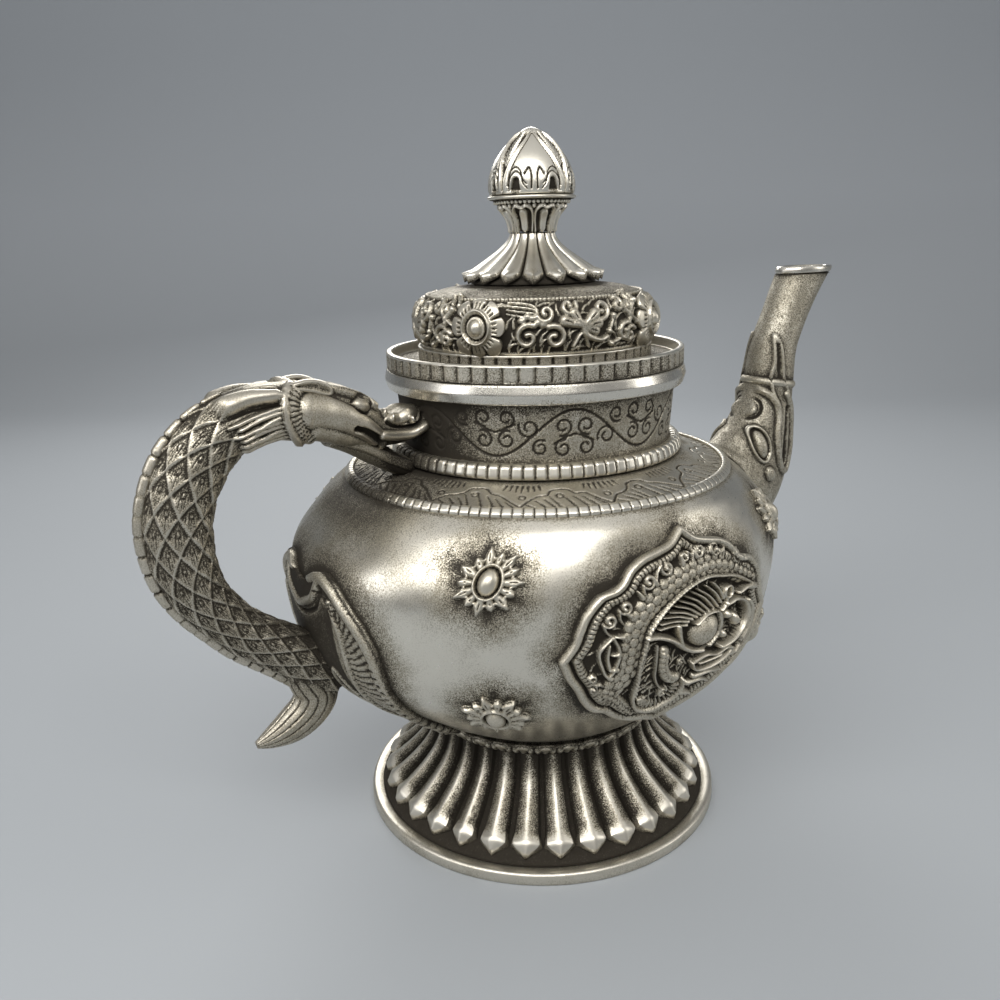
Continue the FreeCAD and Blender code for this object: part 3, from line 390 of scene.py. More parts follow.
class Relief:
    # a raised drawing on a flat sheet: a fine raster of heights that a mesh then follows
    def __init__(self, left, low, wide, tall, step, wrap=False):
        self.left, self.low, self.wide, self.tall, self.step, self.wrap = left, low, wide, tall, step, wrap
        self.cols = round(wide / step) + (0 if wrap else 1)
        self.rows = round(tall / step) + 1
        self.x, self.y = np.meshgrid(left + np.arange(self.cols) * step, low + np.arange(self.rows) * step)
        self.h = np.zeros(self.x.shape)
        self.ink = np.zeros(self.x.shape)      # extra tarnish and painted shade

    def windows(self, points, reach):
        points = np.array(points, float)
        for shift in (-self.wide, 0, self.wide) if self.wrap else (0,):
            p = points + (shift, 0)
            i0 = max(0, int((p[:, 0].min() - reach - self.left) / self.step))
            i1 = min(self.cols, int((p[:, 0].max() + reach - self.left) / self.step) + 2)
            j0 = max(0, int((p[:, 1].min() - reach - self.low) / self.step))
            j1 = min(self.rows, int((p[:, 1].max() + reach - self.low) / self.step) + 2)
            if i0 < i1 and j0 < j1:
                yield p, (slice(j0, j1), slice(i0, i1))

    def stroke(self, points, width, height, ends=(1.0, 1.0), form="round", how="raise", ink=0.0):
        # a raised or sunk line, soft where it is given as a list of corners; its width runs from ends[0] to ends[1]
        # times width
        reach = width * max(ends) / 2
        for p, cell in self.windows(smoothLine(points) if isinstance(points, list) else points, reach):
            gap, share = nearLine(p, self.x[cell], self.y[cell])
            half = width / 2 * (ends[0] + (ends[1] - ends[0]) * share)
            q = gap / np.maximum(half, 1e-6)
            shape = np.sqrt(np.clip(1 - q * q, 0, 1)) if form == "round" else smoothStep((1 - q) * 2.5)
            self.put(cell, height * shape, q < 1, how, ink)

    def put(self, cell, rise, where, how="raise", ink=0.0):
        if how == "raise":
            self.h[cell] = np.where(where, np.maximum(self.h[cell], rise), self.h[cell])
        else:
            self.h[cell] -= np.where(where, rise, 0)
        if ink:
            shade = ink * np.clip(rise / max(rise.max(), 1e-9), 0, 1)
            self.ink[cell] = np.where(where, np.maximum(self.ink[cell], shade), self.ink[cell])

    def cut(self, points, width, depth, ink):
        self.stroke(points, width, depth, how="cut", ink=ink)

    def dome(self, x, y, rx, ry, height, turn=0.0, power=0.5):
        reach = max(rx, ry)
        c, s = wayOf(math.radians(turn))
        for p, cell in self.windows([(x, y)], reach):
            dx = self.x[cell] - p[0, 0]
            dy = self.y[cell] - p[0, 1]
            q = ((dx * c + dy * s) / rx) ** 2 + ((dy * c - dx * s) / ry) ** 2
            self.put(cell, height * np.clip(1 - q, 0, 1) ** power, q < 1)

    def ring(self, x, y, radius, width, height, how="raise", flat=1.0, ink=0.0):
        a = np.linspace(0, 2 * math.pi, 25)
        self.stroke(np.stack([x + radius * np.cos(a), y + radius * flat * np.sin(a)], 1), width, height, how=how,
                    ink=ink)

    def curl(self, x, y, size, turn, hand, height, tail, width):
        # a comma-shaped scroll: a rolled head and a tail that thins out
        head = spiral(0, 0, size * 0.62, 1.1, 180 if hand > 0 else 0, hand, 0.25)
        first = head[0]
        run = first + np.array([(0.05 * size * hand, -size * tail), (-0.12 * size * hand, -size * tail * 0.5),
                                (0, 0)])
        line = np.vstack([smoothLine(run, 6)[:-1], head])
        c, s = wayOf(math.radians(turn))
        line = line @ np.array([[c, s], [-s, c]]) + (x, y)
        self.stroke(line, size * width, height, (0.35, 1.25))
        self.dome(*line[-1], size * 0.26, size * 0.26, height * 1.25)

    def shades(self, sizes, worn=1.2):
        # hollows hold tarnish and painted shade, and crests are rubbed bright
        dark = self.ink.copy()
        for size, strength in sizes:
            dark += np.clip(self.level(size) - self.h, -0.12, 2) * strength
        bright = np.clip(self.h - self.level(0.7), 0, 1) * worn
        return np.clip(dark, 0, 1), np.clip(bright, 0, 1)

    def level(self, size):
        return soften(self.h, max(1, round(size / self.step)), self.wrap)

    def read(self, field, x, y):
        i = (x - self.left) / self.step
        j = np.clip((y - self.low) / self.step, 0, self.rows - 1.001)
        if self.wrap:
            i = i % self.cols
            i0 = np.floor(i).astype(int) % self.cols
            i1 = (i0 + 1) % self.cols
        else:
            i = np.clip(i, 0, self.cols - 1.001)
            i0 = np.floor(i).astype(int)
            i1 = i0 + 1
        j0 = np.floor(j).astype(int)
        fx = i - np.floor(i)
        fy = j - j0
        return ((field[j0, i0] * (1 - fx) + field[j0, i1] * fx) * (1 - fy)
                + (field[j0 + 1, i0] * (1 - fx) + field[j0 + 1, i1] * fx) * fy)


# meshes
def gridMesh(cols, rows):
    bm = bmesh.new()
    bmesh.ops.create_grid(bm, x_segments=cols, y_segments=rows, size=0.5)
    mesh = bpy.data.meshes.new("sheet")
    bm.to_mesh(mesh)
    bm.free()
    spots = np.empty(len(mesh.vertices) * 3)
    mesh.vertices.foreach_get("co", spots)
    spots = spots.reshape(-1, 3) + 0.5
    return mesh, spots[:, 0], spots[:, 1]


def setMarks(mesh, tarnish_and_shade, worn):
    for name, values in (("tarnish_and_shade", tarnish_and_shade), ("worn", worn)):
        mark = mesh.attributes.new(name, "FLOAT", "POINT")
        mark.data.foreach_set("value", np.clip(values, 0, 1).astype(np.float32))


def shapeMesh(mesh, spots):
    mesh.vertices.foreach_set("co", (np.asarray(spots) * mm).ravel())
    mesh.update()


weld = 0.004                   # points closer than this become one
seamReach = 3.0                # how far from another piece the grime and painted shade can lie


def addPiece(name, mesh, slot, body, replaced, crease=None):
    bm = bmesh.new()
    bm.from_mesh(mesh)
    bmesh.ops.remove_doubles(bm, verts=bm.verts, dist=weld * mm)
    bmesh.ops.recalc_face_normals(bm, faces=bm.faces)
    bm.to_mesh(mesh)
    bm.free()
    mesh.polygons.foreach_set("use_smooth", [True] * len(mesh.polygons))
    if crease:
        mesh.set_sharp_from_angle(angle=math.radians(crease))
    mesh.name = name
    mesh.materials.clear()
    mesh.materials.append(silvers[slot])
    piece = addObject(name, mesh)
    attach(piece, body)
    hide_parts(*replaced)


def boxOf(node):
    return [np.array(c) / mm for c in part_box(node)]


trees = {}


def treeOf(node):
    if node not in trees:
        mesh = nodes[node].data
        spots = np.empty(len(mesh.vertices) * 3)
        mesh.vertices.foreach_get("co", spots)
        faces = np.empty(len(mesh.polygons) * 3, int)
        mesh.polygons.foreach_get("vertices", faces)
        trees[node] = BVHTree.FromPolygons(spots.reshape(-1, 3).tolist(), faces.reshape(-1, 3).tolist())
    return trees[node]


def nearNodes(spots, names, reach):
    # for every spot, in mm, the distance to the closest of these pieces, up to reach
    best = np.full(len(spots), reach, float)
    for name in names:
        low, high = boxOf(name)
        close = np.nonzero(((spots > low - reach) & (spots < high + reach)).all(1))[0]
        tree = treeOf(name)
        for i in close:
            hit = tree.find_nearest(Vector(spots[i] * mm), best[i] * mm)
            if hit[0] is not None:
                best[i] = min(best[i], hit[3] / mm)
    return best


def grimeAndShadeNear(spots, names, most, thin):
    # tarnish that gathers, and painted shade, where these pieces stand close, less by a factor e for every thin mm
    gap = nearNodes(spots, names, seamReach)
    return most * np.exp(-gap / thin) * (gap < seamReach - 0.01)


def waves(spots, length, seed):
    # a soft unevenness about 0, the same every run
    count = 6
    rng = np.random.default_rng(seed)
    total = np.zeros(len(spots))
    for _ in range(count):
        way = rng.normal(size=3)
        way *= rng.uniform(0.6, 1.4) * 2 * math.pi / length / np.linalg.norm(way)
        total += np.sin(spots @ way + rng.uniform(0, 6.28))
    return total / count ** 0.5


def resample(points, step):
    # a polyline's points spaced evenly between its corners; the corners stay
    out = [points[0]]
    for a, b in zip(points, points[1:]):
        a = np.array(a, float)
        b = np.array(b, float)
        count = max(1, round(np.hypot(*(b - a)) / step))
        out += [a + (b - a) * k / count for k in range(1, count + 1)]
    return np.array(out)


# the belly: an oval pot whose half axes at every height are read from the frame
belly = {"low": 26.4, "high": 89.4, "wall": 1.6, "neckHole": 31.5, "coneTop": 93.8, "cols": 400, "rows": 150,
         "dents": 0.11, "dentLength": 30.0, "grimeAndShadeReach": 10.0}


def readBelly():
    tree = treeOf("belly_shell")
    heights = np.linspace(belly["low"] + 0.1, belly["high"] - 0.05, 180)
    halves = []
    for z in heights:
        end = tree.ray_cast(Vector((-0.2, 0, z * mm)), Vector((1, 0, 0)))[0]
        front = tree.ray_cast(Vector((0, -0.2, z * mm)), Vector((0, 1, 0)))[0]
        halves.append((-end.x / mm, -front.y / mm))
    halves = np.array(halves)
    # the facets of the solid are smoothed away; the ends are carried on straight
    for _ in range(60):
        longer = np.vstack([2 * halves[0] - halves[1], halves, 2 * halves[-1] - halves[-2]])
        halves = (longer[:-2] + 2 * longer[1:-1] + longer[2:]) / 4
    return heights, halves, np.gradient(halves, heights, axis=0)


bellyRows, bellyReach, bellySlope = readBelly()


def bellyHalves(z):
    halves = [np.interp(z, bellyRows, bellyReach[:, k]) for k in (0, 1)]
    slopes = [np.interp(z, bellyRows, bellySlope[:, k]) for k in (0, 1)]
    return *halves, *slopes


def onBelly(theta, z, lift=0.0):
    a, b, da, db = bellyHalves(z)
    c, s = np.cos(theta), np.sin(theta)
    out = np.stack([c / a, s / b, -(c * c * da / a + s * s * db / b)], -1)
    out /= np.linalg.norm(out, axis=-1, keepdims=True)
    return np.stack([a * c, b * s, z + 0 * a], -1) + out * np.asarray(lift)[..., None]


def frontAngle(x, z, side):
    # where a point of the upright plane square to Y falls on the belly; side is -1 in front, 1 behind
    return side * np.arccos(np.clip(x / bellyHalves(z)[0], -1, 1))


def makeBelly():
    outer = np.linspace(belly["low"], belly["high"], belly["rows"] + 1)
    inner = np.linspace(belly["high"] - 1.6, belly["low"] + 1.6, 26)
    rows = [("disc", 0.0, belly["low"]), ("disc", 0.5, belly["low"])]
    rows += [("wall", 0.0, z) for z in outer]
    topRadius = bellyHalves(np.array(belly["high"]))[0]
    for t in (0.34, 0.67, 1.0):
        radius = topRadius + (belly["neckHole"] - topRadius) * t
        rows.append(("round", radius, belly["high"] + (belly["coneTop"] - belly["high"]) * t))
    rows.append(("round", belly["neckHole"], belly["coneTop"] - 1.0))
    rows += [("wall", -belly["wall"], z) for z in inner]
    rows += [("disc", 0.5, belly["low"] + belly["wall"]), ("disc", 0.0, belly["low"] + belly["wall"])]
    mesh, u, v = gridMesh(belly["cols"], len(rows) - 1)
    theta = u * 2 * math.pi
    row = np.round(v * (len(rows) - 1)).astype(int)
    kind = np.array([r[0] for r in rows])[row]
    size = np.array([r[1] for r in rows])[row]
    z = np.array([r[2] for r in rows])[row]
    spots = onBelly(theta, z, np.where(kind == "wall", size, 0.0))
    flat = kind == "round"
    spots[flat, 0] = size[flat] * np.cos(theta[flat])
    spots[flat, 1] = size[flat] * np.sin(theta[flat])
    flat = kind == "disc"
    spots[flat, :2] *= size[flat, None] * 0.96
    isOuter = (kind == "wall") & (size == 0)
    fade = smoothStep((z - belly["low"]) / 8) * smoothStep((belly["high"] - z) / 8)
    dent = waves(spots, belly["dentLength"], 5) + 0.4 * waves(spots, belly["dentLength"] / 2.7, 6)
    out = onBelly(theta, z, 1.0) - onBelly(theta, z, 0.0)
    spots += out * np.where(isOuter, (dent - 1.0) * belly["dents"] * fade, 0)[:, None]
    names = ["medallion_front", "medallion_back", "upper_rosettes", "lower_rosettes", "leaf_plate", "waist_ring"]
    gap = np.full(len(spots), belly["grimeAndShadeReach"])
    gap[isOuter] = nearNodes(spots[isOuter], names, belly["grimeAndShadeReach"])
    seam = np.zeros(len(spots))
    seam[isOuter] = grimeAndShadeNear(spots[isOuter], ["shoulder_bead", "spout_socket"], 0.5, 0.5)
    # tarnish and painted shade close round every plate and along the seams, darker below the waist, and painted shade
    # at the handle's side and under the dragon's head
    tarnish_and_shade = 0.46 * np.exp(-gap / 0.9) + 0.46 * np.exp(-(gap / 4.2) ** 1.3) + 0.06 + seam
    tarnish_and_shade += 0.26 * smoothStep((46 - z) / 20) + 0.05 * smoothStep((z - 76) / 12)
    tarnish_and_shade += 0.20 * smoothStep((-np.cos(theta) - 0.55) / 0.4) * smoothStep((z - 62) / 18)
    tarnish_and_shade += 0.55 * smoothStep((-np.cos(theta) - 0.90) / 0.09) * smoothStep((z - 80) / 7)
    tarnish_and_shade = np.where(isOuter, tarnish_and_shade, 0.30)
    worn = np.where(isOuter, 0.5 * smoothStep((gap - 3) / 5), 0)
    shapeMesh(mesh, spots)
    setMarks(mesh, tarnish_and_shade, worn)
    addPiece("belly", mesh, "belly_silver", pot, ["belly_shell"])


makeBelly()
print("belly made")


# spun rings: a closed outline of radius and height goes round the axis
def rounded(outline, radius, steps=3):
    points = np.array(outline, float)
    out = []
    for before, here, after in zip(np.roll(points, 1, 0), points, np.roll(points, -1, 0)):
        a, b = before - here, after - here
        la, lb = np.hypot(*a), np.hypot(*b)
        cut = min(radius, la * 0.45, lb * 0.45)
        start, end = here + a / la * cut, here + b / lb * cut
        for t in np.linspace(0, 1, steps + 1):
            out.append((1 - t) ** 2 * start + 2 * t * (1 - t) * here + t * t * end)
    return np.array(out)


def spunPiece(name, outline, slot, body, replaced, cols, step, lift, near=(), base=0.05, plain=None):
    # lift takes angle, radius, height, outward share and the length along the outline; it gives rise, tarnish with
    # painted shade, wear
    # plain names two points of the outline; the undrawn stretch between them gets every eighth row only
    line = resample(np.vstack([outline, outline[:1]]), step)
    if plain:
        start, way = outline[plain[0]], outline[plain[1]] - outline[plain[0]]
        gap = np.abs(np.cross(way, line - start)) / np.hypot(*way)
        keep = (gap > 0.01) | (np.arange(len(line)) % 8 == 0)
        keep[[0, -1]] = True
        line = line[keep]
    ahead = np.roll(line[:-1], -1, 0) - np.roll(line[:-1], 1, 0)
    out = np.stack([ahead[:, 1], -ahead[:, 0]], 1)
    area = np.sum(line[:-1, 0] * np.roll(line[:-1, 1], -1) - np.roll(line[:-1, 0], -1) * line[:-1, 1])
    out *= (1 if area > 0 else -1) / np.maximum(np.hypot(*out.T), 1e-9)[:, None]
    out = np.vstack([out, out[:1]])
    mesh, u, v = gridMesh(cols, len(line) - 1)
    row = np.round(v * (len(line) - 1)).astype(int)
    theta = u * 2 * math.pi
    theta[u > 0.99999] = 0
    r, z = line[row].T
    nr, nz = out[row].T
    rise, tarnish_and_shade, worn = lift(theta, r, z, nr, nz, runOf(line)[row])
    rise = np.where(r < 1e-6, 0, rise)
    r2, z2 = r + nr * rise, z + nz * rise
    spots = np.stack([r2 * np.cos(theta), r2 * np.sin(theta), z2], 1)
    tarnish_and_shade = tarnish_and_shade + base
    if near:
        tarnish_and_shade = tarnish_and_shade + grimeAndShadeNear(spots, near, 0.65, 0.7)
    shapeMesh(mesh, spots)
    setMarks(mesh, tarnish_and_shade, worn)
    addPiece(name, mesh, slot, body, replaced)


def cellRise(theta, count, width, depth, radius):
    # narrow upright cuts between flat plates; width and depth in mm
    across = (theta * count / (2 * math.pi)) % 1
    gap = np.minimum(across, 1 - across) * 2 * math.pi * radius / count
    cut = smoothStep((width - gap) / (width * 0.6))
    return -depth * cut, cut


beads = {"shoulderCells": 130, "neckCells": 84, "shoulderCut": 0.26, "neckCut": 0.36, "cutDepth": 0.55}


def shadeUnderHead(theta):
    # painted shadow in the corner below the dragon's head
    return 0.85 * smoothStep((-np.cos(theta) - 0.93) / 0.06)


def makeBeads():
    low, high = boxOf("shoulder_bead")
    rOut = high[0]

    def shoulderCells(theta, r, z, nr, nz, run):
        facing = smoothStep((nr + nz + 0.2) * 2)
        shape, cut = cellRise(theta, beads["shoulderCells"], beads["shoulderCut"], beads["cutDepth"], rOut)
        # the cuts are worn away towards the spout
        rubbed = smoothStep((np.cos(theta + 0.35) + 0.15) * 1.4) * 0.75
        dark = cut * facing * (0.95 - 0.5 * rubbed) + 0.08 + shadeUnderHead(theta)
        return shape * facing * (1 - rubbed), dark, 0.7 * (1 - cut) * facing

    ring = rounded([(rOut - 1.9, low[2]), (rOut - 0.2, low[2] + 0.1), (rOut - 0.25, low[2] + 1.0),
                    (rOut - 1.3, high[2] - 0.1),
                    (rOut - 2.3, high[2] - 0.05), (rOut - 2.3, low[2] + 0.7)], 0.35)
    spunPiece("shoulder_beading", ring, "bead_silver", pot, ["shoulder_bead"], beads["shoulderCells"] * 8, 0.34,
              shoulderCells)
    low, high = boxOf("neck_bead")
    rNeck = high[0]

    def neckCells(theta, r, z, nr, nz, run):
        facing = smoothStep((nr + nz * 0.6 + 0.1) * 2)
        shape, cut = cellRise(theta, beads["neckCells"], beads["neckCut"], beads["cutDepth"], rNeck)
        return shape * facing, cut * facing * 0.95 + shadeUnderHead(theta), 0.7 * (1 - cut) * facing

    foot, top = low[2], high[2]
    ring = rounded([(rNeck - 2.9, foot - 0.5), (rNeck - 0.3, foot - 0.5), (rNeck + 0.05, foot + 0.3),
                    (rNeck - 0.5, top - 0.5), (rNeck - 1.3, top), (rNeck - 2.9, top - 0.2)], 0.35)
    spunPiece("neck_beading", ring, "bead_silver", pot, ["neck_bead"], beads["neckCells"] * 10, 0.36, neckCells)


makeBeads()


# the sloping collar between the two beadings, engraved with a scalloped ribbon, slanting strokes and rings
collar = {"waves": 14, "lineWidth": 0.50, "strokeWidth": 0.50, "depth": 0.36, "strokes": 9, "ringRadius": 0.8,
          "inner": 35.9, "drawRadius": 40.5}


def makeCollar():
    low, high = boxOf("shoulder_collar")
    rOut, rIn = high[0], collar["inner"]
    slopeLong = math.hypot(rOut - rIn, high[2] - low[2] - 0.8)
    around = 2 * math.pi * collar["drawRadius"]
    art = Relief(0, -0.6, around, slopeLong + 0.6, 0.13, True)
    pitch = around / collar["waves"]
    wide, depth = collar["strokeWidth"], collar["depth"]
    tall = slopeLong / 9.5
    for k in range(collar["waves"]):
        x = k * pitch
        shift = 0.5 * math.sin(k * 2.3)
        hill = smoothLine([(x, 1.0), (x + pitch * 0.10, 3.4 * tall), (x + pitch * 0.20, 4.4 * tall + shift),
                           (x + pitch * 0.30, 5.2 * tall),
                           (x + pitch * 0.36, 6.9 * tall), (x + pitch * 0.54, 7.2 * tall),
                           (x + pitch * 0.64, 5.6 * tall),
                           (x + pitch * 0.76, 5.0 * tall + shift), (x + pitch * 0.88, 3.0 * tall), (x + pitch, 1.0)])
        art.cut(hill, collar["lineWidth"], collar["depth"], 1.0)
        # slanting strokes under the hill, short upright ones over the dip
        for j in range(collar["strokes"]):
            t = (j + 0.7) / collar["strokes"]
            top = hill[int(t * (len(hill) - 1))] * (1, 0.74)
            foot = np.array([top[0] + 2.2, 0.5 + 0.3 * math.sin(j * 1.7)])
            if top[1] > 1.4:
                art.stroke(np.array([foot, (foot + top) / 2 + (0.2, -0.1), top]), wide, depth, (1.25, 0.5),
                           how="cut", ink=1.0)
        for j in range(-3, 4):
            root = np.array([x + j * 1.25, 8.6 * tall])
            art.stroke(np.array([root, root + (0.15 * j, -2.6 + 0.28 * abs(j))]), wide, depth, (1.2, 0.5),
                       how="cut", ink=1.0)
        for at, level, size in ((x + pitch * 0.45, 4.9, 1.0), (x + 0.2, 4.4, 0.9)):
            art.ring(at, level * tall, collar["ringRadius"] * size, 0.4, 0.3, how="cut", ink=0.95)
    dark, bright = art.shades(((0.5, 1.2),))

    def engraving(theta, r, z, nr, nz, run):
        across = np.clip((rOut - r) / (rOut - rIn), 0, 1) * slopeLong
        up = smoothStep(nz * 3 - 1)
        x = theta * collar["drawRadius"]
        # painted shade along both edges of the slope, by the beadings, and beside the dragon's jaw
        edge = 0.40 * np.exp(-across / 0.6) + 0.50 * np.exp(-(slopeLong - across) / 1.0)
        edge = edge + 0.65 * smoothStep((-np.cos(theta) - 0.80) / 0.17)
        return art.read(art.h, x, across) * up, (art.read(dark, x, across) + edge) * up, art.read(bright, x,
                across) * up

    slope = [(rOut, low[2] + 0.05), (rOut, low[2] + 0.85), (rIn, high[2]), (rIn - 1.6, high[2] + 0.1),
             (rIn - 1.6, high[2] - 0.8)]
    spunPiece("engraved_collar", np.array(slope), "engraved_silver", pot, ["shoulder_collar"], 800, 0.20, engraving,
              ("handle_jaw",), base=0.03, plain=(-1, 0))


# the neck: a dark satin band with an engraved running vine, its darkness partly painted shade
vine = {"radius": 33.2, "repeats": 6, "line": 0.60, "depth": 0.34, "thin": 0.52,
        "curls": [(-2.7, 2.3, 2.1, 250), (2.5, 2.3, 2.1, 290), (-7.6, -2.3, 1.9, 60), (-2.6, -2.6, 2.0, 80),
                  (2.5, -2.4, 2.0, 100),
                  (7.4, -0.4, 2.3, 200)]}


def makeNeck():
    low, high = boxOf("neck_tube")
    foot, top = boxOf("neck_bead")[1][2], boxOf("mouth_band")[0][2]
    radius = vine["radius"]
    around = 2 * math.pi * radius
    art = Relief(0, foot, around, top - foot, 0.15, True)
    middle, tall = (foot + top) / 2, top - foot
    pitch = around / vine["repeats"]
    for k in range(vine["repeats"]):
        x = k * pitch - 2.4
        t = np.linspace(0, 1, 40)
        wave = np.stack([x + pitch * t, middle + tall * 0.39 * np.sin(2 * math.pi * t)], 1)
        art.cut(wave, vine["line"], vine["depth"], 0.95)
        for half, hand in ((0.25, 1), (0.75, -1)):
            cx = x + pitch * half
            y = middle - hand * tall * 0.07
            for dx, dy, size, start in vine["curls"]:
                line = spiral(cx + dx, y + hand * dy, size, 1.2, hand * start, -hand if dx > 0 else hand, 0.35)
                art.cut(line, vine["thin"], vine["depth"] * 0.9, 1.0)
            for x1, y1 in ((-4.6, -1.4), (4.4, -1.2)):
                art.cut([(cx, y + hand * 0.6), (cx + x1 * 0.5, y - hand * 0.2), (cx + x1, y + hand * y1)],
                        vine["thin"], vine["depth"] * 0.8, 0.9)
    dark = art.shades(((0.5, 1.2),))[0]

    def engraving(theta, r, z, nr, nz, run):
        out = smoothStep(nr * 3 - 1) * (r > radius - 1.2) * (z < top + 0.4) * (z > foot - 0.2)
        x = theta * radius
        # painted shade just above the bead, under the mouth band and beside the dragon's head
        shade = 0.22 + 0.45 * np.exp(-(z - foot) / 1.2) + 0.55 * np.exp(-np.clip(top - z, 0, 99) / 2.4)
        side = 0.07 * (1 + np.sin(theta * 2 + 1.3)) + 0.60 * smoothStep((-np.cos(theta) - 0.78) / 0.2)
        return art.read(art.h, x, z) * out, np.where(out > 0, art.read(dark, x, z) + shade + side, 0.35), 0 * r

    inner = high[0] - 2.35
    wall = [(inner, low[2]), (32.8, low[2]), (32.8, foot), (33.8, top), (33.8, high[2]), (inner, high[2])]
    spunPiece("engraved_neck", np.array(wall), "engraved_silver", pot, ["neck_tube"], 820, 0.27, engraving,
              ("handle_skull", "handle_jaw"), base=0.0, plain=(-1, 0))


mouth = {"dent": 0.05, "dentLength": 22.0}


def makeMouth():
    low, high = boxOf("mouth_band")
    rOut = high[0]
    band = rounded([(33.85, low[2]), (rOut - 0.7, low[2]), (rOut - 0.05, (low[2] + high[2]) / 2),
                    (rOut - 0.7, high[2]),
                    (33.85, high[2])], 0.35)

    def dents(theta, r, z, nr, nz, run):
        spots = np.stack([r * np.cos(theta), r * np.sin(theta), z], 1)
        uneven = waves(spots, mouth["dentLength"], 11)
        edge = np.exp(-(high[2] - z) / 0.35) + 0.7 * np.exp(-(z - low[2]) / 0.5)
        return (uneven - 1) * mouth["dent"], 0.10 + 0.5 * edge + 0.08 * uneven, 0.6 + 0 * r

    spunPiece("polished_band", band, "polished_silver", pot, ["mouth_band"], 300, 0.35, dents, ("handle_skull",))


makeCollar()
makeNeck()
makeMouth()
print("shoulder, neck and mouth made")


# the foot: a plate with a sunken floor, a flared stem and ridged petals with bright arrow-shaped ends
foot = {"petals": 32, "ridge": 3.2, "edge": 1.3, "shaft": 0.86, "head": 0.98, "power": 2.1, "tipStart": 0.885,
        "tipEnd": 0.962, "cells": 12, "length": 44, "top": (27.4, 24.2), "tip": (43.6, 2.95), "wall": 1.3}


def flare(top, foot, power, share):
    # a flaring sheet from its top to its foot, each a radius and height: place and outward direction
    radius = top[0] + (foot[0] - top[0]) * share ** power
    slope = (foot[0] - top[0]) * power * np.maximum(share, 1e-3) ** (power - 1)
    drop = foot[1] - top[1]
    long = np.hypot(slope, drop)
    return radius, top[1] + drop * share, -drop / long, slope / long


def makeFoot():
    rOut = boxOf("foot_plate")[1][0]

    def plate(theta, r, z, nr, nz, run):
        spots = np.stack([r * np.cos(theta), r * np.sin(theta), z], 1)
        uneven = waves(spots, 24.0, 21)
        # the sunken floor is painted darker inwards, as shade under the stem and petals, and the rim's foot is
        # painted darker as shade where it meets the floor
        floor = (nz > 0.5) & (r < rOut - 1.0) & (z > 0.5)
        dark = 0.08 + 0.04 * uneven + np.where(floor, (0.62 + 0.06 * uneven) * smoothStep((rOut - 1.6 - r) / 4.5), 0)
        dark += 0.20 * np.exp(-np.clip(z, 0, 9) / 0.35) * (nr > 0.3)
        soft = np.where((nr > 0.2) & (z > 0.8) | (z > 2.4), (uneven - 1) * 0.07, 0)
        return soft, dark, 0.5 * (r > rOut - 2.6)

    rim = [(0, 0), (rOut - 0.3, 0), (rOut - 0.02, 0.3), (rOut - 0.02, 2.4), (rOut - 0.3, 2.85), (rOut - 0.9, 3.05),
           (rOut - 1.8, 2.95),
           (rOut - 4.5, 2.4), (rOut - 9, 2.0), (0, 1.8)]
    spunPiece("foot_base", np.array(rim), "foot_silver", pot, ["foot_plate"], 256, 0.9, plate)
    # stem: painted dark all over, as shade under the petals
    shape = foot["top"], foot["tip"], foot["power"]
    outer = [flare(*shape, share)[:2] for share in np.linspace(0, 1, 22)]
    inner = [(r - foot["wall"], z) for r, z in outer[::-1]]
    wall = [(foot["top"][0], 26.35)] + outer + inner + [(26.1, 26.35)]
    spunPiece("stem", np.array(wall), "foot_silver", pot, ["foot_stem"], 128, 0.9,
              lambda theta, r, z, nr, nz, run: (0 * r, 0.9 + 0 * r, 0 * r))
    # petals: painted shade on their flanks, in the grooves and towards the top by the waist ring; lighter along the
    # ridge, partly rubbed metal and partly painted highlight
    count = foot["petals"]
    mesh, u, v = gridMesh(foot["cells"], foot["length"])
    share = v ** 0.92 * foot["tipEnd"]
    across = (u - 0.5) * 2
    flared = flare(*shape, share)
    radius = flared[0]
    spacing = 2 * math.pi * radius / count
    end = np.clip((share - foot["tipStart"]) / (foot["tipEnd"] - foot["tipStart"]), 0, 1)
    headed = smoothStep((share - foot["tipStart"] + 0.10) / 0.10)
    half = spacing / 2 * (foot["shaft"] + (foot["head"] - foot["shaft"]) * headed) * (1 - end)
    grown = 0.50 + 0.50 * smoothStep(share / foot["tipStart"] * 1.05)
    ridge = foot["ridge"] * grown * (1 - 0.50 * end)
    edge = foot["edge"] * grown * (1 - 0.35 * end)
    slant = np.sqrt(across ** 2 + 0.05) - 0.22
    rise = ridge + (edge - ridge) * slant
    rise = np.where(np.abs(across) > 0.93, rise - 0.25, rise)
    wall = (np.abs(across) > 0.999) | (v < 1e-6) | (v > 0.9999)
    rise = np.where(wall, 0.06, rise)
    flank = np.abs(across)
    dark = (0.42 + 0.40 * smoothStep((flank - 0.30) / 0.6) + 0.40 * smoothStep((0.45 - share) / 0.45)
            - 0.30 * np.exp(-(flank / 0.2) ** 2))
    dark = np.where(headed > 0, dark * (1 - headed) + 0.04 * headed, dark)
    dark = np.where(wall | (rise < 0.3), 0.95, dark)
    bright = np.maximum(headed, 0.7 * np.exp(-(flank / 0.18) ** 2) * smoothStep(share * 2))
    turnedRing("petal_ring", mesh, flared, across * half, (rise, 0.06), dark, bright, count, "foot_silver", pot,
               ["foot_petals"], 3, 0.05, 32)


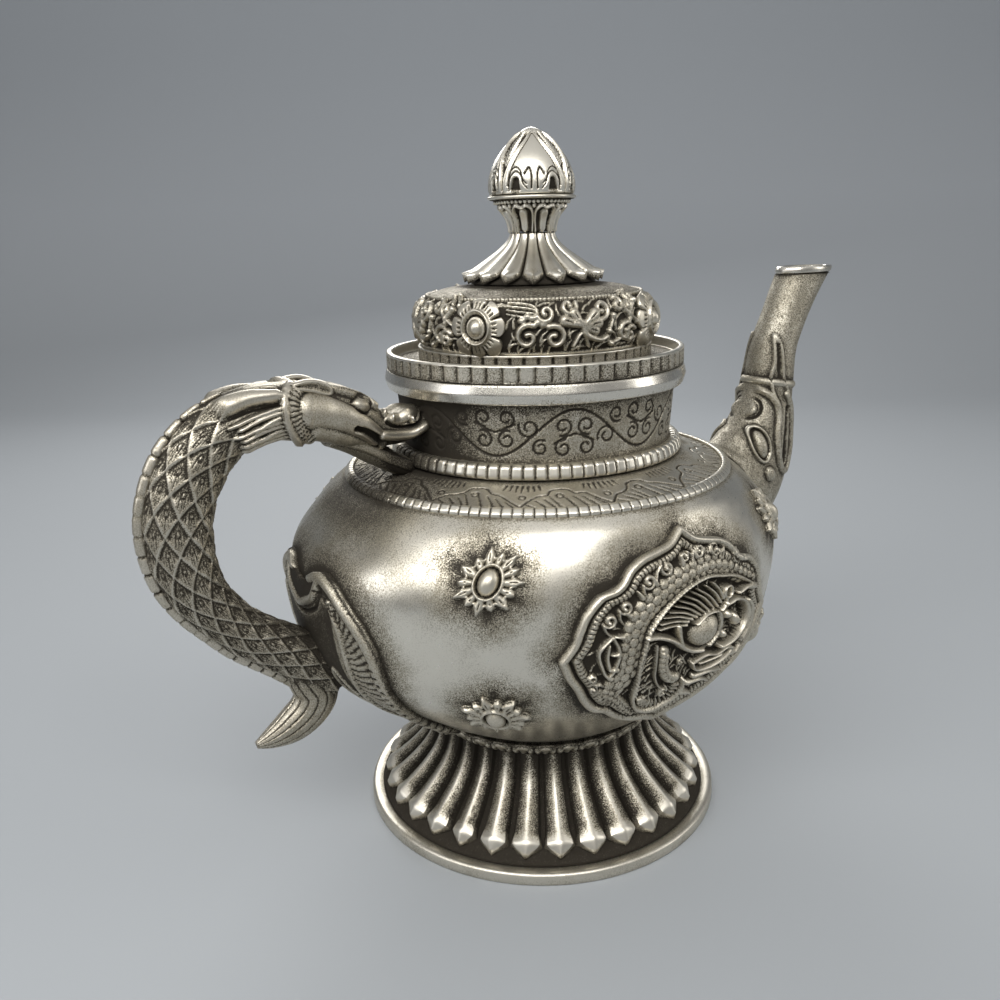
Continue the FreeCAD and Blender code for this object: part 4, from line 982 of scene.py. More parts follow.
def turnedRing(name, mesh, flared, side, rises, dark, bright, count, slot, body, replaced, seed, uneven, crease):
    # one sheet and its back, at two rises, turned round the axis; each copy is a little different in width
    radius, z, nr, nz = flared
    front, back = (np.stack([radius + nr * rise, side, z + nz * rise], 1) for rise in rises)
    rng = np.random.default_rng(seed)
    allSpots, allDark = [], []
    for k in range(count):
        a = 2 * math.pi * (k + 0.5) / count
        wide = 1 + uneven * rng.normal()
        for sheet in (front, back):
            x, y, z = sheet[:, 0], sheet[:, 1] * wide, sheet[:, 2]
            allSpots.append(np.stack([x * math.cos(a) - y * math.sin(a), x * math.sin(a) + y * math.cos(a), z], 1))
        allDark.append(np.clip(dark + 0.03 * rng.normal(), 0, 1))
        # the back sheet is painted fully dark, as shade beneath the sheet
        allDark.append(np.ones(len(dark)))
    bm = bmesh.new()
    for _ in range(2 * count):
        bm.from_mesh(mesh)
    whole = bpy.data.meshes.new(name)
    bm.to_mesh(whole)
    bm.free()
    shapeMesh(whole, np.vstack(allSpots))
    setMarks(whole, np.concatenate(allDark), np.tile(np.concatenate([bright, 0 * bright]), count))
    addPiece(name, whole, slot, body, replaced, crease)


makeFoot()
print("foot made")


# plates that lie on the pot: a star-shaped outline, a relief on top, closed underneath
def edgeRadius(outline, angle):
    points = np.array(outline, float)
    a = np.arctan2(points[:, 1], points[:, 0]) % (2 * math.pi)
    order = np.argsort(a)
    return np.interp(angle % (2 * math.pi), a[order], np.hypot(*points.T)[order], period=2 * math.pi)


def platePiece(name, slot, body, replaced, outline, place, art, cols, rows, sizes, sink=0.3, base=0.05, worn=1.2,
               near=()):
    mesh, u, v = gridMesh(cols, rows + 3)
    row = np.round(v * (rows + 3)).astype(int)
    angle = u * 2 * math.pi
    share = np.where(row <= rows, (row / rows) ** 0.9, (rows + 3 - row) / 2)
    reach = edgeRadius(outline, angle) * share
    x, y = reach * np.cos(angle), reach * np.sin(angle)
    top = row <= rows
    dark, bright = art.shades(sizes, worn)
    height = np.where(top, art.read(art.h, x, y), -sink)
    spots = place(x, y, height)
    # the plate's edge wall and underside are painted dark, as shade
    tarnish_and_shade = np.where(top, art.read(dark, x, y) + base, 0.7)
    if near:
        tarnish_and_shade = tarnish_and_shade + grimeAndShadeNear(spots, near, 0.6, 0.8)
    shapeMesh(mesh, spots)
    setMarks(mesh, tarnish_and_shade, np.where(top, art.read(bright, x, y), 0))
    addPiece(name, mesh, slot, body, replaced)


def mirrored(points):
    points = [tuple(p) for p in points]
    return points + [(-x, y) for x, y in reversed(points)]


def onLine(line, share):
    run = runOf(line)
    at = share * run[-1]
    return np.array([np.interp(at, run, line[:, 0]), np.interp(at, run, line[:, 1])])


def stationOn(line, share, step):
    # a place on a line with the directions ahead and to the side
    ahead = onLine(line, min(1, share + step)) - onLine(line, max(0, share - step))
    ahead /= max(np.hypot(*ahead), 1e-9)
    return onLine(line, share), ahead, np.array([-ahead[1], ahead[0]])


def countOn(line, pitch):
    return max(2, round(runOf(line)[-1] / pitch))


def beadLine(art, line, pitch, size, height):
    # a row of small beads along a line
    count = countOn(line, pitch)
    for k in range(count):
        art.dome(*onLine(line, (k + 0.5) / count), size, size, height)


def crossTicks(art, line, pitch, length, width, depth, lean=0.0, ink=0.8):
    count = countOn(line, pitch)
    for k in range(count):
        spot, ahead, side = stationOn(line, (k + 0.5) / count, 0.01)
        side = side * math.cos(lean) + ahead * math.sin(lean)
        art.stroke(np.array([spot - side * length / 2, spot + side * length / 2]), width, depth, how="cut", ink=ink)


def scaleBand(art, line, width, height, pitch, scale):
    # a swelling band covered in overlapping scales
    art.stroke(line, width, height)
    kept = art.h.copy()
    art.h[:] = 0
    count = countOn(line, pitch)
    across = max(2, round(width / pitch))
    for k in range(count):
        for j in range(across):
            spot, ahead, side = stationOn(line, (k + 0.5 + 0.5 * (j % 2)) / (count + 0.5), 0.02)
            spot = spot + side * width * 0.84 * ((j + 0.5) / across - 0.5)
            turn = math.degrees(math.atan2(ahead[1], ahead[0]))
            art.dome(*spot, pitch * 0.56, width / across * 0.50, scale, turn, power=0.7)
    art.h += kept


def isFree(art, inside, level, i, j, reach):
    cell = (slice(max(0, j - reach), j + reach + 1), slice(max(0, i - reach), i + reach + 1))
    return inside[cell].all() and art.h[cell].max() <= level + 0.05


def fillGround(art, inside, level, sizes, tries, seed):
    # small curls and beads wherever the ground is still free
    rng = np.random.default_rng(seed)
    for size in sizes:
        for _ in range(tries):
            i, j = int(rng.integers(0, art.cols)), int(rng.integers(0, art.rows))
            turn = rng.uniform(0, 360)
            hand = 1 if rng.random() < 0.5 else -1
            if not isFree(art, inside, level, i, j, int((size * 1.15 + 0.25) / art.step)):
                continue
            x, y = art.x[j, i], art.y[j, i]
            if size > 1.0:
                art.curl(x, y, size * 0.95, turn, hand, level + 1.0, 1.0, 0.5)
            else:
                art.dome(x, y, size, size * 0.8, level + 0.7, turn)


def fillStrokes(art, inside, level, tries, seed, height):
    # short bent strokes, laid close, over what ground is left
    rng = np.random.default_rng(seed)
    reach = max(1, int(0.45 / art.step))
    for _ in range(tries):
        i, j = int(rng.integers(0, art.cols)), int(rng.integers(0, art.rows))
        turn = rng.normal(0.8, 0.6)
        long = rng.uniform(0.8, 1.6)
        if not isFree(art, inside, level, i, j, reach):
            continue
        way = wayOf(turn) * long
        root = np.array([art.x[j, i], art.y[j, i]])
        bend = np.array([-way[1], way[0]]) * 0.25
        art.stroke(np.array([root - way, root + bend, root + way]), 0.55, level + height, (1.2, 0.5))


# the medallion: a lobed frame of two ridges round a coiled dragon among curls
medallion = {
    "middle": 62.2, "ground": 0.55, "step": 0.1, "ridge": 2.3, "innerRidge": 1.75,
    "edge": [(-28.6, 0), (-26.4, 3.6), (-25.4, 6.6), (-23.9, 10.0), (-20.9, 13.1), (-18.0, 13.9), (-15.9, 15.1),
             (-13.6, 17.6), (-10.6, 19.2), (-7.0, 20.1), (-3.2, 21.2), (0, 23.6)],
    "lowEdge": [(-28.6, 0), (-27.0, -3.9), (-24.9, -7.0), (-23.1, -10.2), (-20.7, -12.9), (-17.6, -14.1),
                (-15.3, -15.9),
                (-12.9, -17.5), (-9.2, -19.4), (-4.6, -20.9), (0, -23.4)],
}


def medallionArt():
    art = Relief(-30, -25, 60, 50, medallion["step"])
    edge = np.array(mirrored(medallion["edge"]))
    low = np.array(mirrored(medallion["lowEdge"]))[::-1]
    outline = np.vstack([edge, low[1:-1]])
    dense = np.vstack([smoothLine(piece, 6)[:-1] for piece in
                       (edge[:12], edge[11:13], edge[12:], low[:11], low[10:12], low[11:])])
    ground = medallion["ground"]
    share = np.hypot(art.x, art.y) / edgeRadius(outline, np.arctan2(art.y, art.x))
    inside = share < 0.80
    art.h += ground
    closed = np.vstack([dense, dense[:1]])
    art.stroke(closed * 0.960, 2.0, medallion["ridge"])
    art.stroke(closed * 0.870, 2.3, medallion["innerRidge"])
    art.cut(closed * 0.912, 0.45, 0.3, 1.0)
    crossTicks(art, closed * 0.860, 0.95, 1.5, 0.24, 0.40, ink=0.7)
    # the coiled body, its rope edging and the loop of the tail
    body = smoothLine([(-17.0, -8.5), (-14.2, -4.5), (-13.6, 1.8), (-12.4, 6.6), (-9.2, 9.9), (-4.8, 12.2), (0, 13.8),
                       (5.9, 14.5),
                       (11.7, 13.3), (17.0, 10.6), (22.0, 7.6)])
    scaleBand(art, body, 6.4, 1.8, 2.0, 0.42)
    for k in range(15):
        spot = onLine(body, (k + 0.7) / 15.6)
        away = onLine(body, min(1, (k + 1.2) / 15.6)) - spot
        away = np.array([-away[1], away[0]]) / max(np.hypot(*away), 1e-9)
        art.stroke(np.array([spot + away * 2.6, spot + away * 4.3]), 1.5, 2.2, (1.1, 0.3))
    rope = smoothLine([(-11.4, -10.4), (-11.7, -3.2), (-10.9, 0.7), (-10.2, 3.8), (-7.8, 7.1), (-4.6, 9.7),
                       (-0.3, 11.7), (4.6, 12.5),
                       (8.9, 11.8), (14.2, 10.4), (20.6, 6.9)])
    art.stroke(rope, 0.95, 2.9)
    crossTicks(art, rope, 0.9, 0.9, 0.2, 0.3, lean=0.6, ink=0.6)
    # inside the coil: a dark hollow with the mane streaming from the nose
    mane = [((7.8, 5.6), (2.1, 10.5)), ((6.4, 5.6), (0.6, 10.3)), ((5.0, 5.4), (-1.4, 9.9)),
            ((3.8, 5.2), (-2.8, 9.2)),
            ((2.6, 5.0), (-4.2, 8.4)), ((1.6, 4.8), (-5.6, 7.4)), ((0.4, 4.6), (-7.0, 6.5)),
            ((-0.6, 4.3), (-7.6, 5.2)),
            ((-1.0, 3.6), (-7.9, 4.1)), ((8.8, 6.2), (4.4, 10.8)), ((9.6, 6.8), (6.6, 10.9))]
    for root, tip in mane:
        root, tip = np.array(root), np.array(tip)
        bend = (root + tip) / 2 + (tip - root)[::-1] * (0.06, -0.06)
        art.stroke([root, bend, tip], 1.0, 2.5, (1.15, 0.35))
    art.dome(4.6, 0.9, 5.0, 4.0, 3.9, 28, power=0.7)
    art.stroke([(1.2, 3.4), (4.2, 5.0), (7.6, 4.6), (8.6, 2.2), (8.0, -0.4), (5.6, -2.6)], 0.8, 3.4)
    bar = smoothLine([(-10.6, 2.9), (-8.2, 2.7), (-5.8, 1.8), (-3.4, 0.4), (-1.3, -1.3), (1.2, -2.7), (4.2, -3.4)])
    art.stroke(bar, 1.7, 3.1, (0.9, 1.0))
    art.stroke([(-3.3, 4.0), (-2.8, 1.6), (-1.9, -0.6)], 1.2, 3.2, (1.3, 0.9))
    # cheek, eye and toothed brow
    brow = smoothLine([(10.6, 5.4), (14.0, 5.6), (17.4, 3.8), (19.0, 0.6), (17.6, -2.4), (14.2, -4.2), (10.4, -4.6)])
    art.stroke(brow, 1.7, 3.3, (0.8, 0.8))
    crossTicks(art, smoothLine([(11.4, 4.2), (14.4, 4.0), (16.6, 2.6), (17.4, 0.4), (16.2, -1.8), (13.6, -3.0)]),
               0.95, 1.4, 0.5, 0.8)
    art.dome(14.4, 0.6, 1.2, 1.9, 3.4, 15)
    art.dome(10.8, 3.0, 1.25, 1.25, 3.6)
    art.dome(10.4, -1.6, 1.0, 1.2, 3.2)
    art.ring(10.9, 8.0, 1.25, 0.8, 3.0)
    art.stroke([(10.7, 6.8), (10.4, 5.2), (9.2, 4.2)], 0.9, 2.8)
    art.stroke([(14.9, 6.6), (18.0, 7.0), (21.2, 6.2)], 2.0, 3.0, (0.5, 1.2))
    art.stroke([(19.8, 3.2), (21.8, 0.6), (22.0, -3.0), (20.0, -6.4)], 1.3, 2.7, (1, 0.6))
    # the tail's loop with a rope edge and a scaly inner side
    loop = smoothLine([(-10.4, 1.2), (-11.2, -3.2), (-11.6, -8.0), (-11.4, -11.5), (-9.6, -14.6), (-6.4, -16.6),
                       (-2.8, -17.0),
                       (0.2, -15.4), (1.6, -12.8), (1.0, -10.2)])
    art.stroke(loop, 1.1, 2.6)
    crossTicks(art, loop, 0.9, 1.0, 0.2, 0.3, lean=0.6, ink=0.6)
    inner = smoothLine([(-7.6, 0.2), (-7.4, -4.0), (-7.0, -7.4), (-5.0, -10.6), (-2.6, -11.8)])
    scaleBand(art, smoothLine([(-5.6, -1.6), (-5.4, -5.2), (-3.6, -8.2), (-1.0, -9.4)]), 3.0, 2.0, 1.25, 0.45)
    art.stroke(inner, 0.6, 1.9)
    for k in range(13):
        a = math.radians(196 + k * 14)
        root = np.array([-4.6 + 5.2 * math.cos(a), -11.8 + 4.2 * math.sin(a)])
        art.stroke(np.array([root, root * 0.66 + np.array([-4.6, -11.8]) * 0.34]), 0.55, 1.9, (1.1, 0.5))
    art.curl(-4.0, -12.2, 1.7, 200, 1, 2.2, 0.8, 0.5)
    # lower right: a folded wing and flames
    wing = smoothLine([(2.4, -6.4), (6.4, -5.6), (10.2, -6.6), (13.6, -6.2), (16.2, -7.6), (13.2, -9.0), (8.6, -9.4),
                       (4.2, -8.6), (2.4, -6.4)])
    art.stroke(wing, 1.0, 2.5)
    art.stroke([(5.0, -7.4), (8.6, -7.6), (12.4, -7.8)], 1.2, 2.2, (0.6, 1.0))
    for points in ([(3.0, -12.0), (7.4, -12.4), (11.4, -14.6)], [(4.4, -10.6), (9.4, -11.0), (14.0, -12.2)],
                   [(2.0, -14.4), (5.2, -15.6), (7.8, -17.6)], [(15.6, -8.8), (18.6, -9.2), (20.0, -8.4)]):
        art.stroke(points, 1.3, 2.3, (1.2, 0.4))
    # a flame-edged leaf and scales on the lower left
    art.stroke([(-18.0, 4.4), (-20.6, 1.4), (-19.6, -2.6), (-18.2, -4.6), (-16.8, -2.4), (-16.4, 1.0), (-18.0, 4.4)],
               0.9, 2.2)
    art.stroke([(-18.5, 2.4), (-18.7, -0.4), (-18.1, -2.8)], 1.2, 1.9, (0.7, 1.1))
    scaleBand(art, smoothLine([(-19.2, -8.6), (-16.4, -10.2), (-13.4, -13.2), (-9.4, -16.6)]), 3.4, 1.8, 1.35, 0.45)
    for x, y, size, turn, hand in ((-5.2, 16.2, 2.0, -30, 1), (-9.8, 14.4, 2.0, 20, 1), (3.6, 18.0, 2.0, -10, 1),
                                   (8.2, 17.4, 2.0, -20, -1),
                                   (14.9, 14.6, 1.9, -60, -1), (-15.3, 10.2, 1.9, 15, 1), (-18.7, 8.0, 1.9, 30, 1),
                                   (-21.6, -4.6, 1.3, 80, 1),
                                   (-21.0, -7.2, 1.2, 80, -1), (-0.6, 17.6, 1.5, 40, -1)):
        art.curl(x, y, size * 1.25, turn, hand, 2.2, 1.4, 0.46)
    fillGround(art, inside, ground, (1.7, 1.3), 900, 4)
    fillStrokes(art, inside, ground, 5200, 14, 0.5)
    # tarnish and painted shade on what ground shows between the ornaments
    free = art.h < ground + 0.06
    art.ink[free & (share < 0.81)] = 0.75
    return art, outline


def onFront(side):
    def place(x, y, lift):
        z = y + medallion["middle"]
        spots = onBelly(frontAngle(x, z, -1), z, lift)
        return spots * (side, side, 1)
    return place


def makeMedallions():
    art, outline = medallionArt()
    outline = resample(np.vstack([outline, outline[:1]]), 0.3)[:-1]
    for face, side, cols, rows in (("front", 1, 580, 120), ("back", -1, 420, 90)):
        platePiece(f"medallion_{face}_relief", "relief_silver", pot,
                   [f"medallion_{face}", f"medallion_dragon_{face}"],
                   outline, onFront(side), art, cols, rows, ((0.3, 2.6), (1.2, 1.2)), base=0.27, worn=1.5)


makeMedallions()
print("medallions made")


# rosettes: an oval boss in a ring among long and short petals
rosette = {"reach": 7.4, "short": 6.3, "valley": 5.4, "petals": 14, "boss": 3.0, "ring": 2.0, "rise": 1.35,
           "spots": [(angle, height) for height in (78.8, 47.9) for angle in (226.0, 314.0, 46.0, 134.0)]}


def rosetteArt():
    art = Relief(-8, -8, 16, 16, 0.08)
    art.h += 0.35
    count = rosette["petals"]
    outline = []
    for k in range(count * 8):
        a = 2 * math.pi * k / (count * 8)
        lobe = a * count / (2 * math.pi)
        index = round(lobe) % count
        tip = rosette["reach"] if index % 2 == 0 else rosette["short"]
        grown = 1 - (2 * abs(lobe - round(lobe))) ** 1.5
        outline.append((a, rosette["valley"] + (tip - rosette["valley"]) * grown))
    for k in range(count):
        a = 2 * math.pi * k / count
        way = wayOf(a)
        tip = (rosette["reach"] if k % 2 == 0 else rosette["short"]) - 0.2
        for near, far, wide in ((3.0, 5.0, (0.80, 1.12)), (5.0, tip, (1.12, 0.14))):
            art.stroke(np.array([way * near, way * far]), 2.15 if k % 2 == 0 else 1.8, rosette["rise"], wide)
        art.cut(np.array([way * 4.4, way * (tip - 1.4)]), 0.3, 0.35, 0.75)
        half = a + math.pi / count
        art.dome(4.7 * math.cos(half), 4.7 * math.sin(half), 0.42, 0.42, rosette["rise"] * 0.95)
    art.ring(0, 0, 2.85, 0.85, rosette["ring"] * 0.9, flat=1.2)
    art.dome(0, 0, 2.25, 2.9, rosette["boss"] * 0.9)
    art.cut(np.array([(2.3 * math.cos(a), 2.95 * math.sin(a)) for a in np.linspace(0, 2 * math.pi, 30)]), 0.35, 0.5,
            0.9)
    points = np.array([(r * math.cos(a), r * math.sin(a)) for a, r in outline])
    return art, points


def onBellyAt(degrees, height):
    # a plane that touches the belly at a place, wrapped onto it; the angle is seen from above
    a, b = bellyHalves(np.array(height))[:2]
    turn = math.radians(degrees)
    first = math.atan2(math.sin(turn) / b, math.cos(turn) / a)
    fine = [onBelly(np.array(first + d), np.array(height + e)) for d, e in ((0, 0), (0.01, 0), (0, 0.1))]
    around = np.linalg.norm(fine[1] - fine[0]) / 0.01
    up = np.linalg.norm(fine[2] - fine[0]) / 0.1

    def place(x, y, lift):
        return onBelly(first + x / around, height + y / up, lift)
    return place


def makeRosettes():
    art, outline = rosetteArt()
    for k, (degrees, height) in enumerate(rosette["spots"]):
        row = "upper" if k < 4 else "lower"
        platePiece(f"{row}_rosette_{k % 4 + 1}", "relief_silver", pot, [row + "_rosettes"], outline,
                   onBellyAt(degrees, height), art, 150, 34, ((0.3, 1.6), (0.9, 0.8)))


makeRosettes()


# the leaf that carries the handle's lower end
leaf = {"middle": (0.0, 50.0), "rise": 1.7,
        "edge": [(0, 72.6), (3.2, 73.4), (6.6, 75.6), (10.1, 76.4), (14.6, 74.6), (18.2, 71.5), (21.6, 67.4),
                 (23.8, 62.4), (24.0, 56.0),
                 (23.0, 49.0), (21.4, 43.0), (19.2, 36.9), (17.8, 33.2)]}


def makeLeaf():
    cx, cy = leaf["middle"]
    half = [(x - cx, y - cy) for x, y in leaf["edge"]]
    low = half[-1]
    across = [(-low[0] * t, low[1]) for t in (0.66, 0.33, 0, -0.33, -0.66)]
    outline = [(-x, y) for x, y in half[1:]] + across + half[:0:-1] + half[:1]
    outline = resample(np.vstack([outline, outline[:1]]), 0.4)[:-1]
    art = Relief(-26, -19, 52, 47, 0.12)
    art.h += 0.9
    for side in (-1, 1):
        ridge = smoothLine([((x - 1.5) * side, y - 1.3) for x, y in half[2:12]])
        art.stroke(ridge, 2.8, leaf["rise"] + 0.1)
        fold = smoothLine([(8.6 * side, 25.0), (6.6 * side, 20.5), (2.8 * side, 18.4), (0, 17.4)])
        art.stroke(fold, 2.4, leaf["rise"])
        art.cut([(9.6 * side, 22.5), (7.8 * side, 18.4), (3.6 * side, 16.2), (0, 15.4)], 1.1, 0.7, 0.95)
        inner = smoothLine([(12.6 * side, 21.0), (15.0 * side, 14.0), (15.2 * side, 4.0), (13.0 * side, -5.0),
                            (9.6 * side, -12.0)])
        art.stroke(inner, 1.8, leaf["rise"] * 0.9)
        for k in range(26):
            share = (k + 0.5) / 26
            root = onLine(inner, share)
            out = onLine(ridge, min(1, share * 0.92 + 0.04))
            middle = (root + out) / 2 + (0, -1.6)
            art.stroke([root + (0.7 * side, 1.2), middle, out + (0, -3.0)], 0.55, 0.5, (0.5, 1.2), how="cut", ink=1.0)
        lobe = smoothLine([(11.6 * side, -2.0), (9.2 * side, 4.2), (6.8 * side, -2.0), (7.8 * side, -12.0),
                           (10.4 * side, -16.0)])
        art.stroke(lobe, 1.1, leaf["rise"] * 0.9)
        art.cut([(16.2 * side, -6.2), (18.4 * side, -12.0), (17.6 * side, -17.0)], 0.7, 0.5, 0.8)
    # the low ground of the leaf is painted dark, tarnish and painted shade
    art.ink[(art.h < 1.0) & (np.abs(art.x) < 13)] = 0.62

    def place(x, y, lift):
        z = np.clip(y + cy, belly["low"], belly["high"])
        b = bellyHalves(z)[1]
        theta = math.pi - np.arcsin(np.clip(x / b, -1, 1))
        return onBelly(theta, z, lift)

    platePiece("leaf", "leaf_silver", pot, ["leaf_plate"], outline, place, art, 350, 90, ((0.4, 1.8), (1.6, 1.0)),
               base=0.28, near=("handle_grip", "handle_tail"))


makeLeaf()
print("rosettes and leaf made")


# tubes that follow a route in the upright plane of handle and spout
def routeRows(shares, reach, rise, thick, hand, step):
    # rows of (place along X, height, depth, breadth), evenly spaced along the route
    table = smoothLine(np.array(shares) * (reach * hand, rise, thick, thick), 10)
    run = runOf(table[:, :2])
    count = max(4, round(run[-1] / step))
    at = np.linspace(0, run[-1], count + 1)
    return np.stack([np.interp(at, run, table[:, k]) for k in range(4)], 1), at


def tubePiece(name, route, slot, replaced, cols, lift, base=0.05, near=(), side=0.0, bore=None, top=None, stop=None):
    # lift takes the length along the route, the angle, the place, the outward direction and the whole length
    # a bore gives the wall and how many rows the inside runs back; top is a height at which the tube is cut level,
    # and stop the radius inside which it doesn't reach
    rows, at = route
    outerCount = len(rows)
    if bore:
        back = rows[::-1][:bore[1]].copy()
        back[:, 2:] -= 2 * bore[0]
        rows = np.vstack([rows, back])
        at = np.concatenate([at, at[::-1][:bore[1]]])
    count = len(rows)
    mesh, u, v = gridMesh(cols, count + 1)
    row = np.clip(np.round(v * (count + 1)).astype(int) - 1, 0, count - 1)
    pole = (v < 1e-6) | (v > 1 - 1e-6)
    a = u * 2 * math.pi
    ahead = np.gradient(rows[:outerCount, :2], axis=0)
    if bore:
        ahead = np.vstack([ahead, ahead[::-1][:bore[1]]])
    ahead /= np.hypot(*ahead.T)[:, None]
    across = np.stack([ahead[:, 1], -ahead[:, 0]], 1)[row]
    place, depth, breadth = rows[row, :2], rows[row, 2] / 2, rows[row, 3] / 2
    c, s = np.cos(a), np.sin(a)
    nc, ns = c / depth, s / breadth
    long = np.hypot(nc, ns)
    nc, ns = nc / long, ns / long
    flat = np.stack([place[:, 0] + across[:, 0] * depth * c, breadth * s, place[:, 1] + across[:, 1] * depth * c], 1)
    out = np.stack([across[:, 0] * nc, ns, across[:, 1] * nc], 1)
    rise, tarnish_and_shade, worn = lift(at[row], a, flat, out, at[-1])
    tarnish_and_shade = tarnish_and_shade + base
    # the inside of the bore is painted dark, as shade
    if bore:
        within = row >= outerCount
        rise, tarnish_and_shade = np.where(within, 0, rise), np.where(within, 0.7, tarnish_and_shade)
    spots = flat + out * rise[:, None]
    if top:
        spots[:, 2] = np.minimum(spots[:, 2], top)
    spots[pole] = np.stack([place[:, 0], 0 * a, np.minimum(place[:, 1], top or 999)], 1)[pole]
    spots[:, 1] += side
    if stop:
        reach = np.hypot(spots[:, 0], spots[:, 1])
        spots[:, :2] *= (np.maximum(reach, stop) / reach)[:, None]
    if near:
        tarnish_and_shade = tarnish_and_shade + grimeAndShadeNear(spots, near, 0.6, 0.8)
    shapeMesh(mesh, spots)
    setMarks(mesh, tarnish_and_shade, worn)
    addPiece(name, mesh, slot, pot, replaced)


handle = {
    "size": (95.5, 116.8, 14.0), "diamonds": 9, "pitch": 7.7, "plate": 0.75, "crest": (2.7, 2.9), "plateLength": 3.3,
    "stop": 32.3,
    "ear": [(0.672, 0.990, 0.06, 0.10), (0.652, 0.993, 0.15, 0.19), (0.618, 0.991, 0.22, 0.21),
            (0.590, 0.983, 0.22, 0.20),
            (0.575, 0.975, 0.13, 0.15), (0.570, 0.972, 0.04, 0.06)], "earSpread": 4.2,
    "grip": [(0.612, 0.938, 0.50, 0.50), (0.628, 0.940, 0.87, 0.85), (0.689, 0.947, 0.88, 0.86),
             (0.748, 0.943, 0.90, 0.86),
             (0.798, 0.931, 0.92, 0.88), (0.840, 0.909, 0.96, 0.90), (0.880, 0.871, 1.00, 0.92),
             (0.910, 0.825, 1.00, 0.93),
             (0.926, 0.778, 1.00, 0.93), (0.928, 0.729, 0.97, 0.90), (0.918, 0.677, 0.90, 0.86),
             (0.893, 0.628, 0.80, 0.79),
             (0.856, 0.585, 0.73, 0.73), (0.807, 0.541, 0.73, 0.73), (0.758, 0.510, 0.76, 0.75),
             (0.714, 0.484, 0.80, 0.79),
             (0.650, 0.444, 0.87, 0.86), (0.600, 0.415, 0.89, 0.88)],
    "tail": [(0.690, 0.450, 0.60, 0.70), (0.668, 0.415, 0.72, 0.72), (0.655, 0.380, 0.73, 0.70),
             (0.678, 0.347, 0.68, 0.62),
             (0.724, 0.323, 0.60, 0.52), (0.775, 0.309, 0.36, 0.34), (0.812, 0.303, 0.12, 0.12)],
    "skull": [(0.668, 0.945, 0.50, 0.50), (0.650, 0.943, 0.84, 0.80), (0.600, 0.936, 0.88, 0.88),
              (0.560, 0.931, 0.92, 0.96), (0.508, 0.914, 0.82, 0.92), (0.460, 0.893, 0.62, 0.78),
              (0.412, 0.886, 0.52, 0.66), (0.372, 0.893, 0.56, 0.68), (0.340, 0.898, 0.50, 0.62),
              (0.318, 0.897, 0.30, 0.40)],
    "jaw": [(0.575, 0.888, 0.30, 0.60), (0.520, 0.872, 0.38, 0.66), (0.470, 0.848, 0.40, 0.62),
            (0.425, 0.824, 0.36, 0.56),
            (0.390, 0.808, 0.34, 0.50), (0.366, 0.798, 0.22, 0.34)],
}


def latticeLift(art, at, a, flat, out, total):
    # overlapping diamond plates, each with slanting strokes, a punched ring and a dark upper corner of tarnish and
    # painted shade
    p = at / handle["pitch"]
    q = a * handle["diamonds"] / (2 * math.pi)
    first, second = (p + q) % 1, (p - q) % 1
    edge = np.minimum(np.minimum(first, 1 - first), np.minimum(second, 1 - second)) * handle["pitch"] * 0.7
    line = smoothStep(1 - edge / 0.42)
    tilt = np.minimum(first, second)
    rise = 0.15 + handle["plate"] * 0.75 * smoothStep(tilt * 1.6)
    rise = np.maximum(rise, 0.95 * line * handle["plate"])
    u, v = first - 0.5, second - 0.5
    strokes = 0.5 + 0.5 * np.cos(2 * math.pi * (u - v) * 4.5)
    hatch = strokes ** 3 * smoothStep((u + v + 0.15) * 6) * smoothStep((edge - 0.6) / 0.3)
    ring = np.exp(-((np.hypot(u + 0.06, v + 0.06) - 0.13) / 0.045) ** 2)
    rise = rise - 0.28 * hatch - 0.30 * ring
    recess = smoothStep((0.36 - tilt) / 0.30) * (1 - line)
    tarnish_and_shade = 0.30 + 0.62 * recess + 0.50 * hatch + 0.60 * ring - 0.28 * line
    inner = smoothStep((-np.cos(a) - 0.2) / 0.6)
    tarnish_and_shade += 0.20 * inner * smoothStep((at - total * 0.45) / 20)
    fade = smoothStep((at - 17) / 3)
    drawn, dark, bright = sideDrawing(art, at, a, flat, out, total)
    return ((rise - 0.35) * fade + drawn * (1 - fade), tarnish_and_shade * fade + dark * (1 - fade),
            0.75 * line * fade + bright * (1 - fade))


def tailLift(at, a, flat, out, total):
    grooves = np.abs(((a * 7 / math.pi + at * 0.05) % 1) - 0.5) * 2
    cut = smoothStep((0.30 - grooves) / 0.3)
    return -0.45 * cut * smoothStep(1 - np.abs(at / total - 0.55) * 1.6), 0.25 + 0.7 * cut, 0.3 * (1 - cut)


def sideDrawing(art, at, a, flat, out, total, base=0.15):
    # the drawing in the upright plane shows on both cheeks
    facing = smoothStep((np.abs(out[:, 1]) - 0.15) / 0.45)
    dark, bright = art.shades(((0.3, 1.4), (0.9, 0.9)))
    x, z = flat[:, 0], flat[:, 2]
    return art.read(art.h, x, z) * facing, base + art.read(dark, x, z) * facing, art.read(bright, x, z) * facing


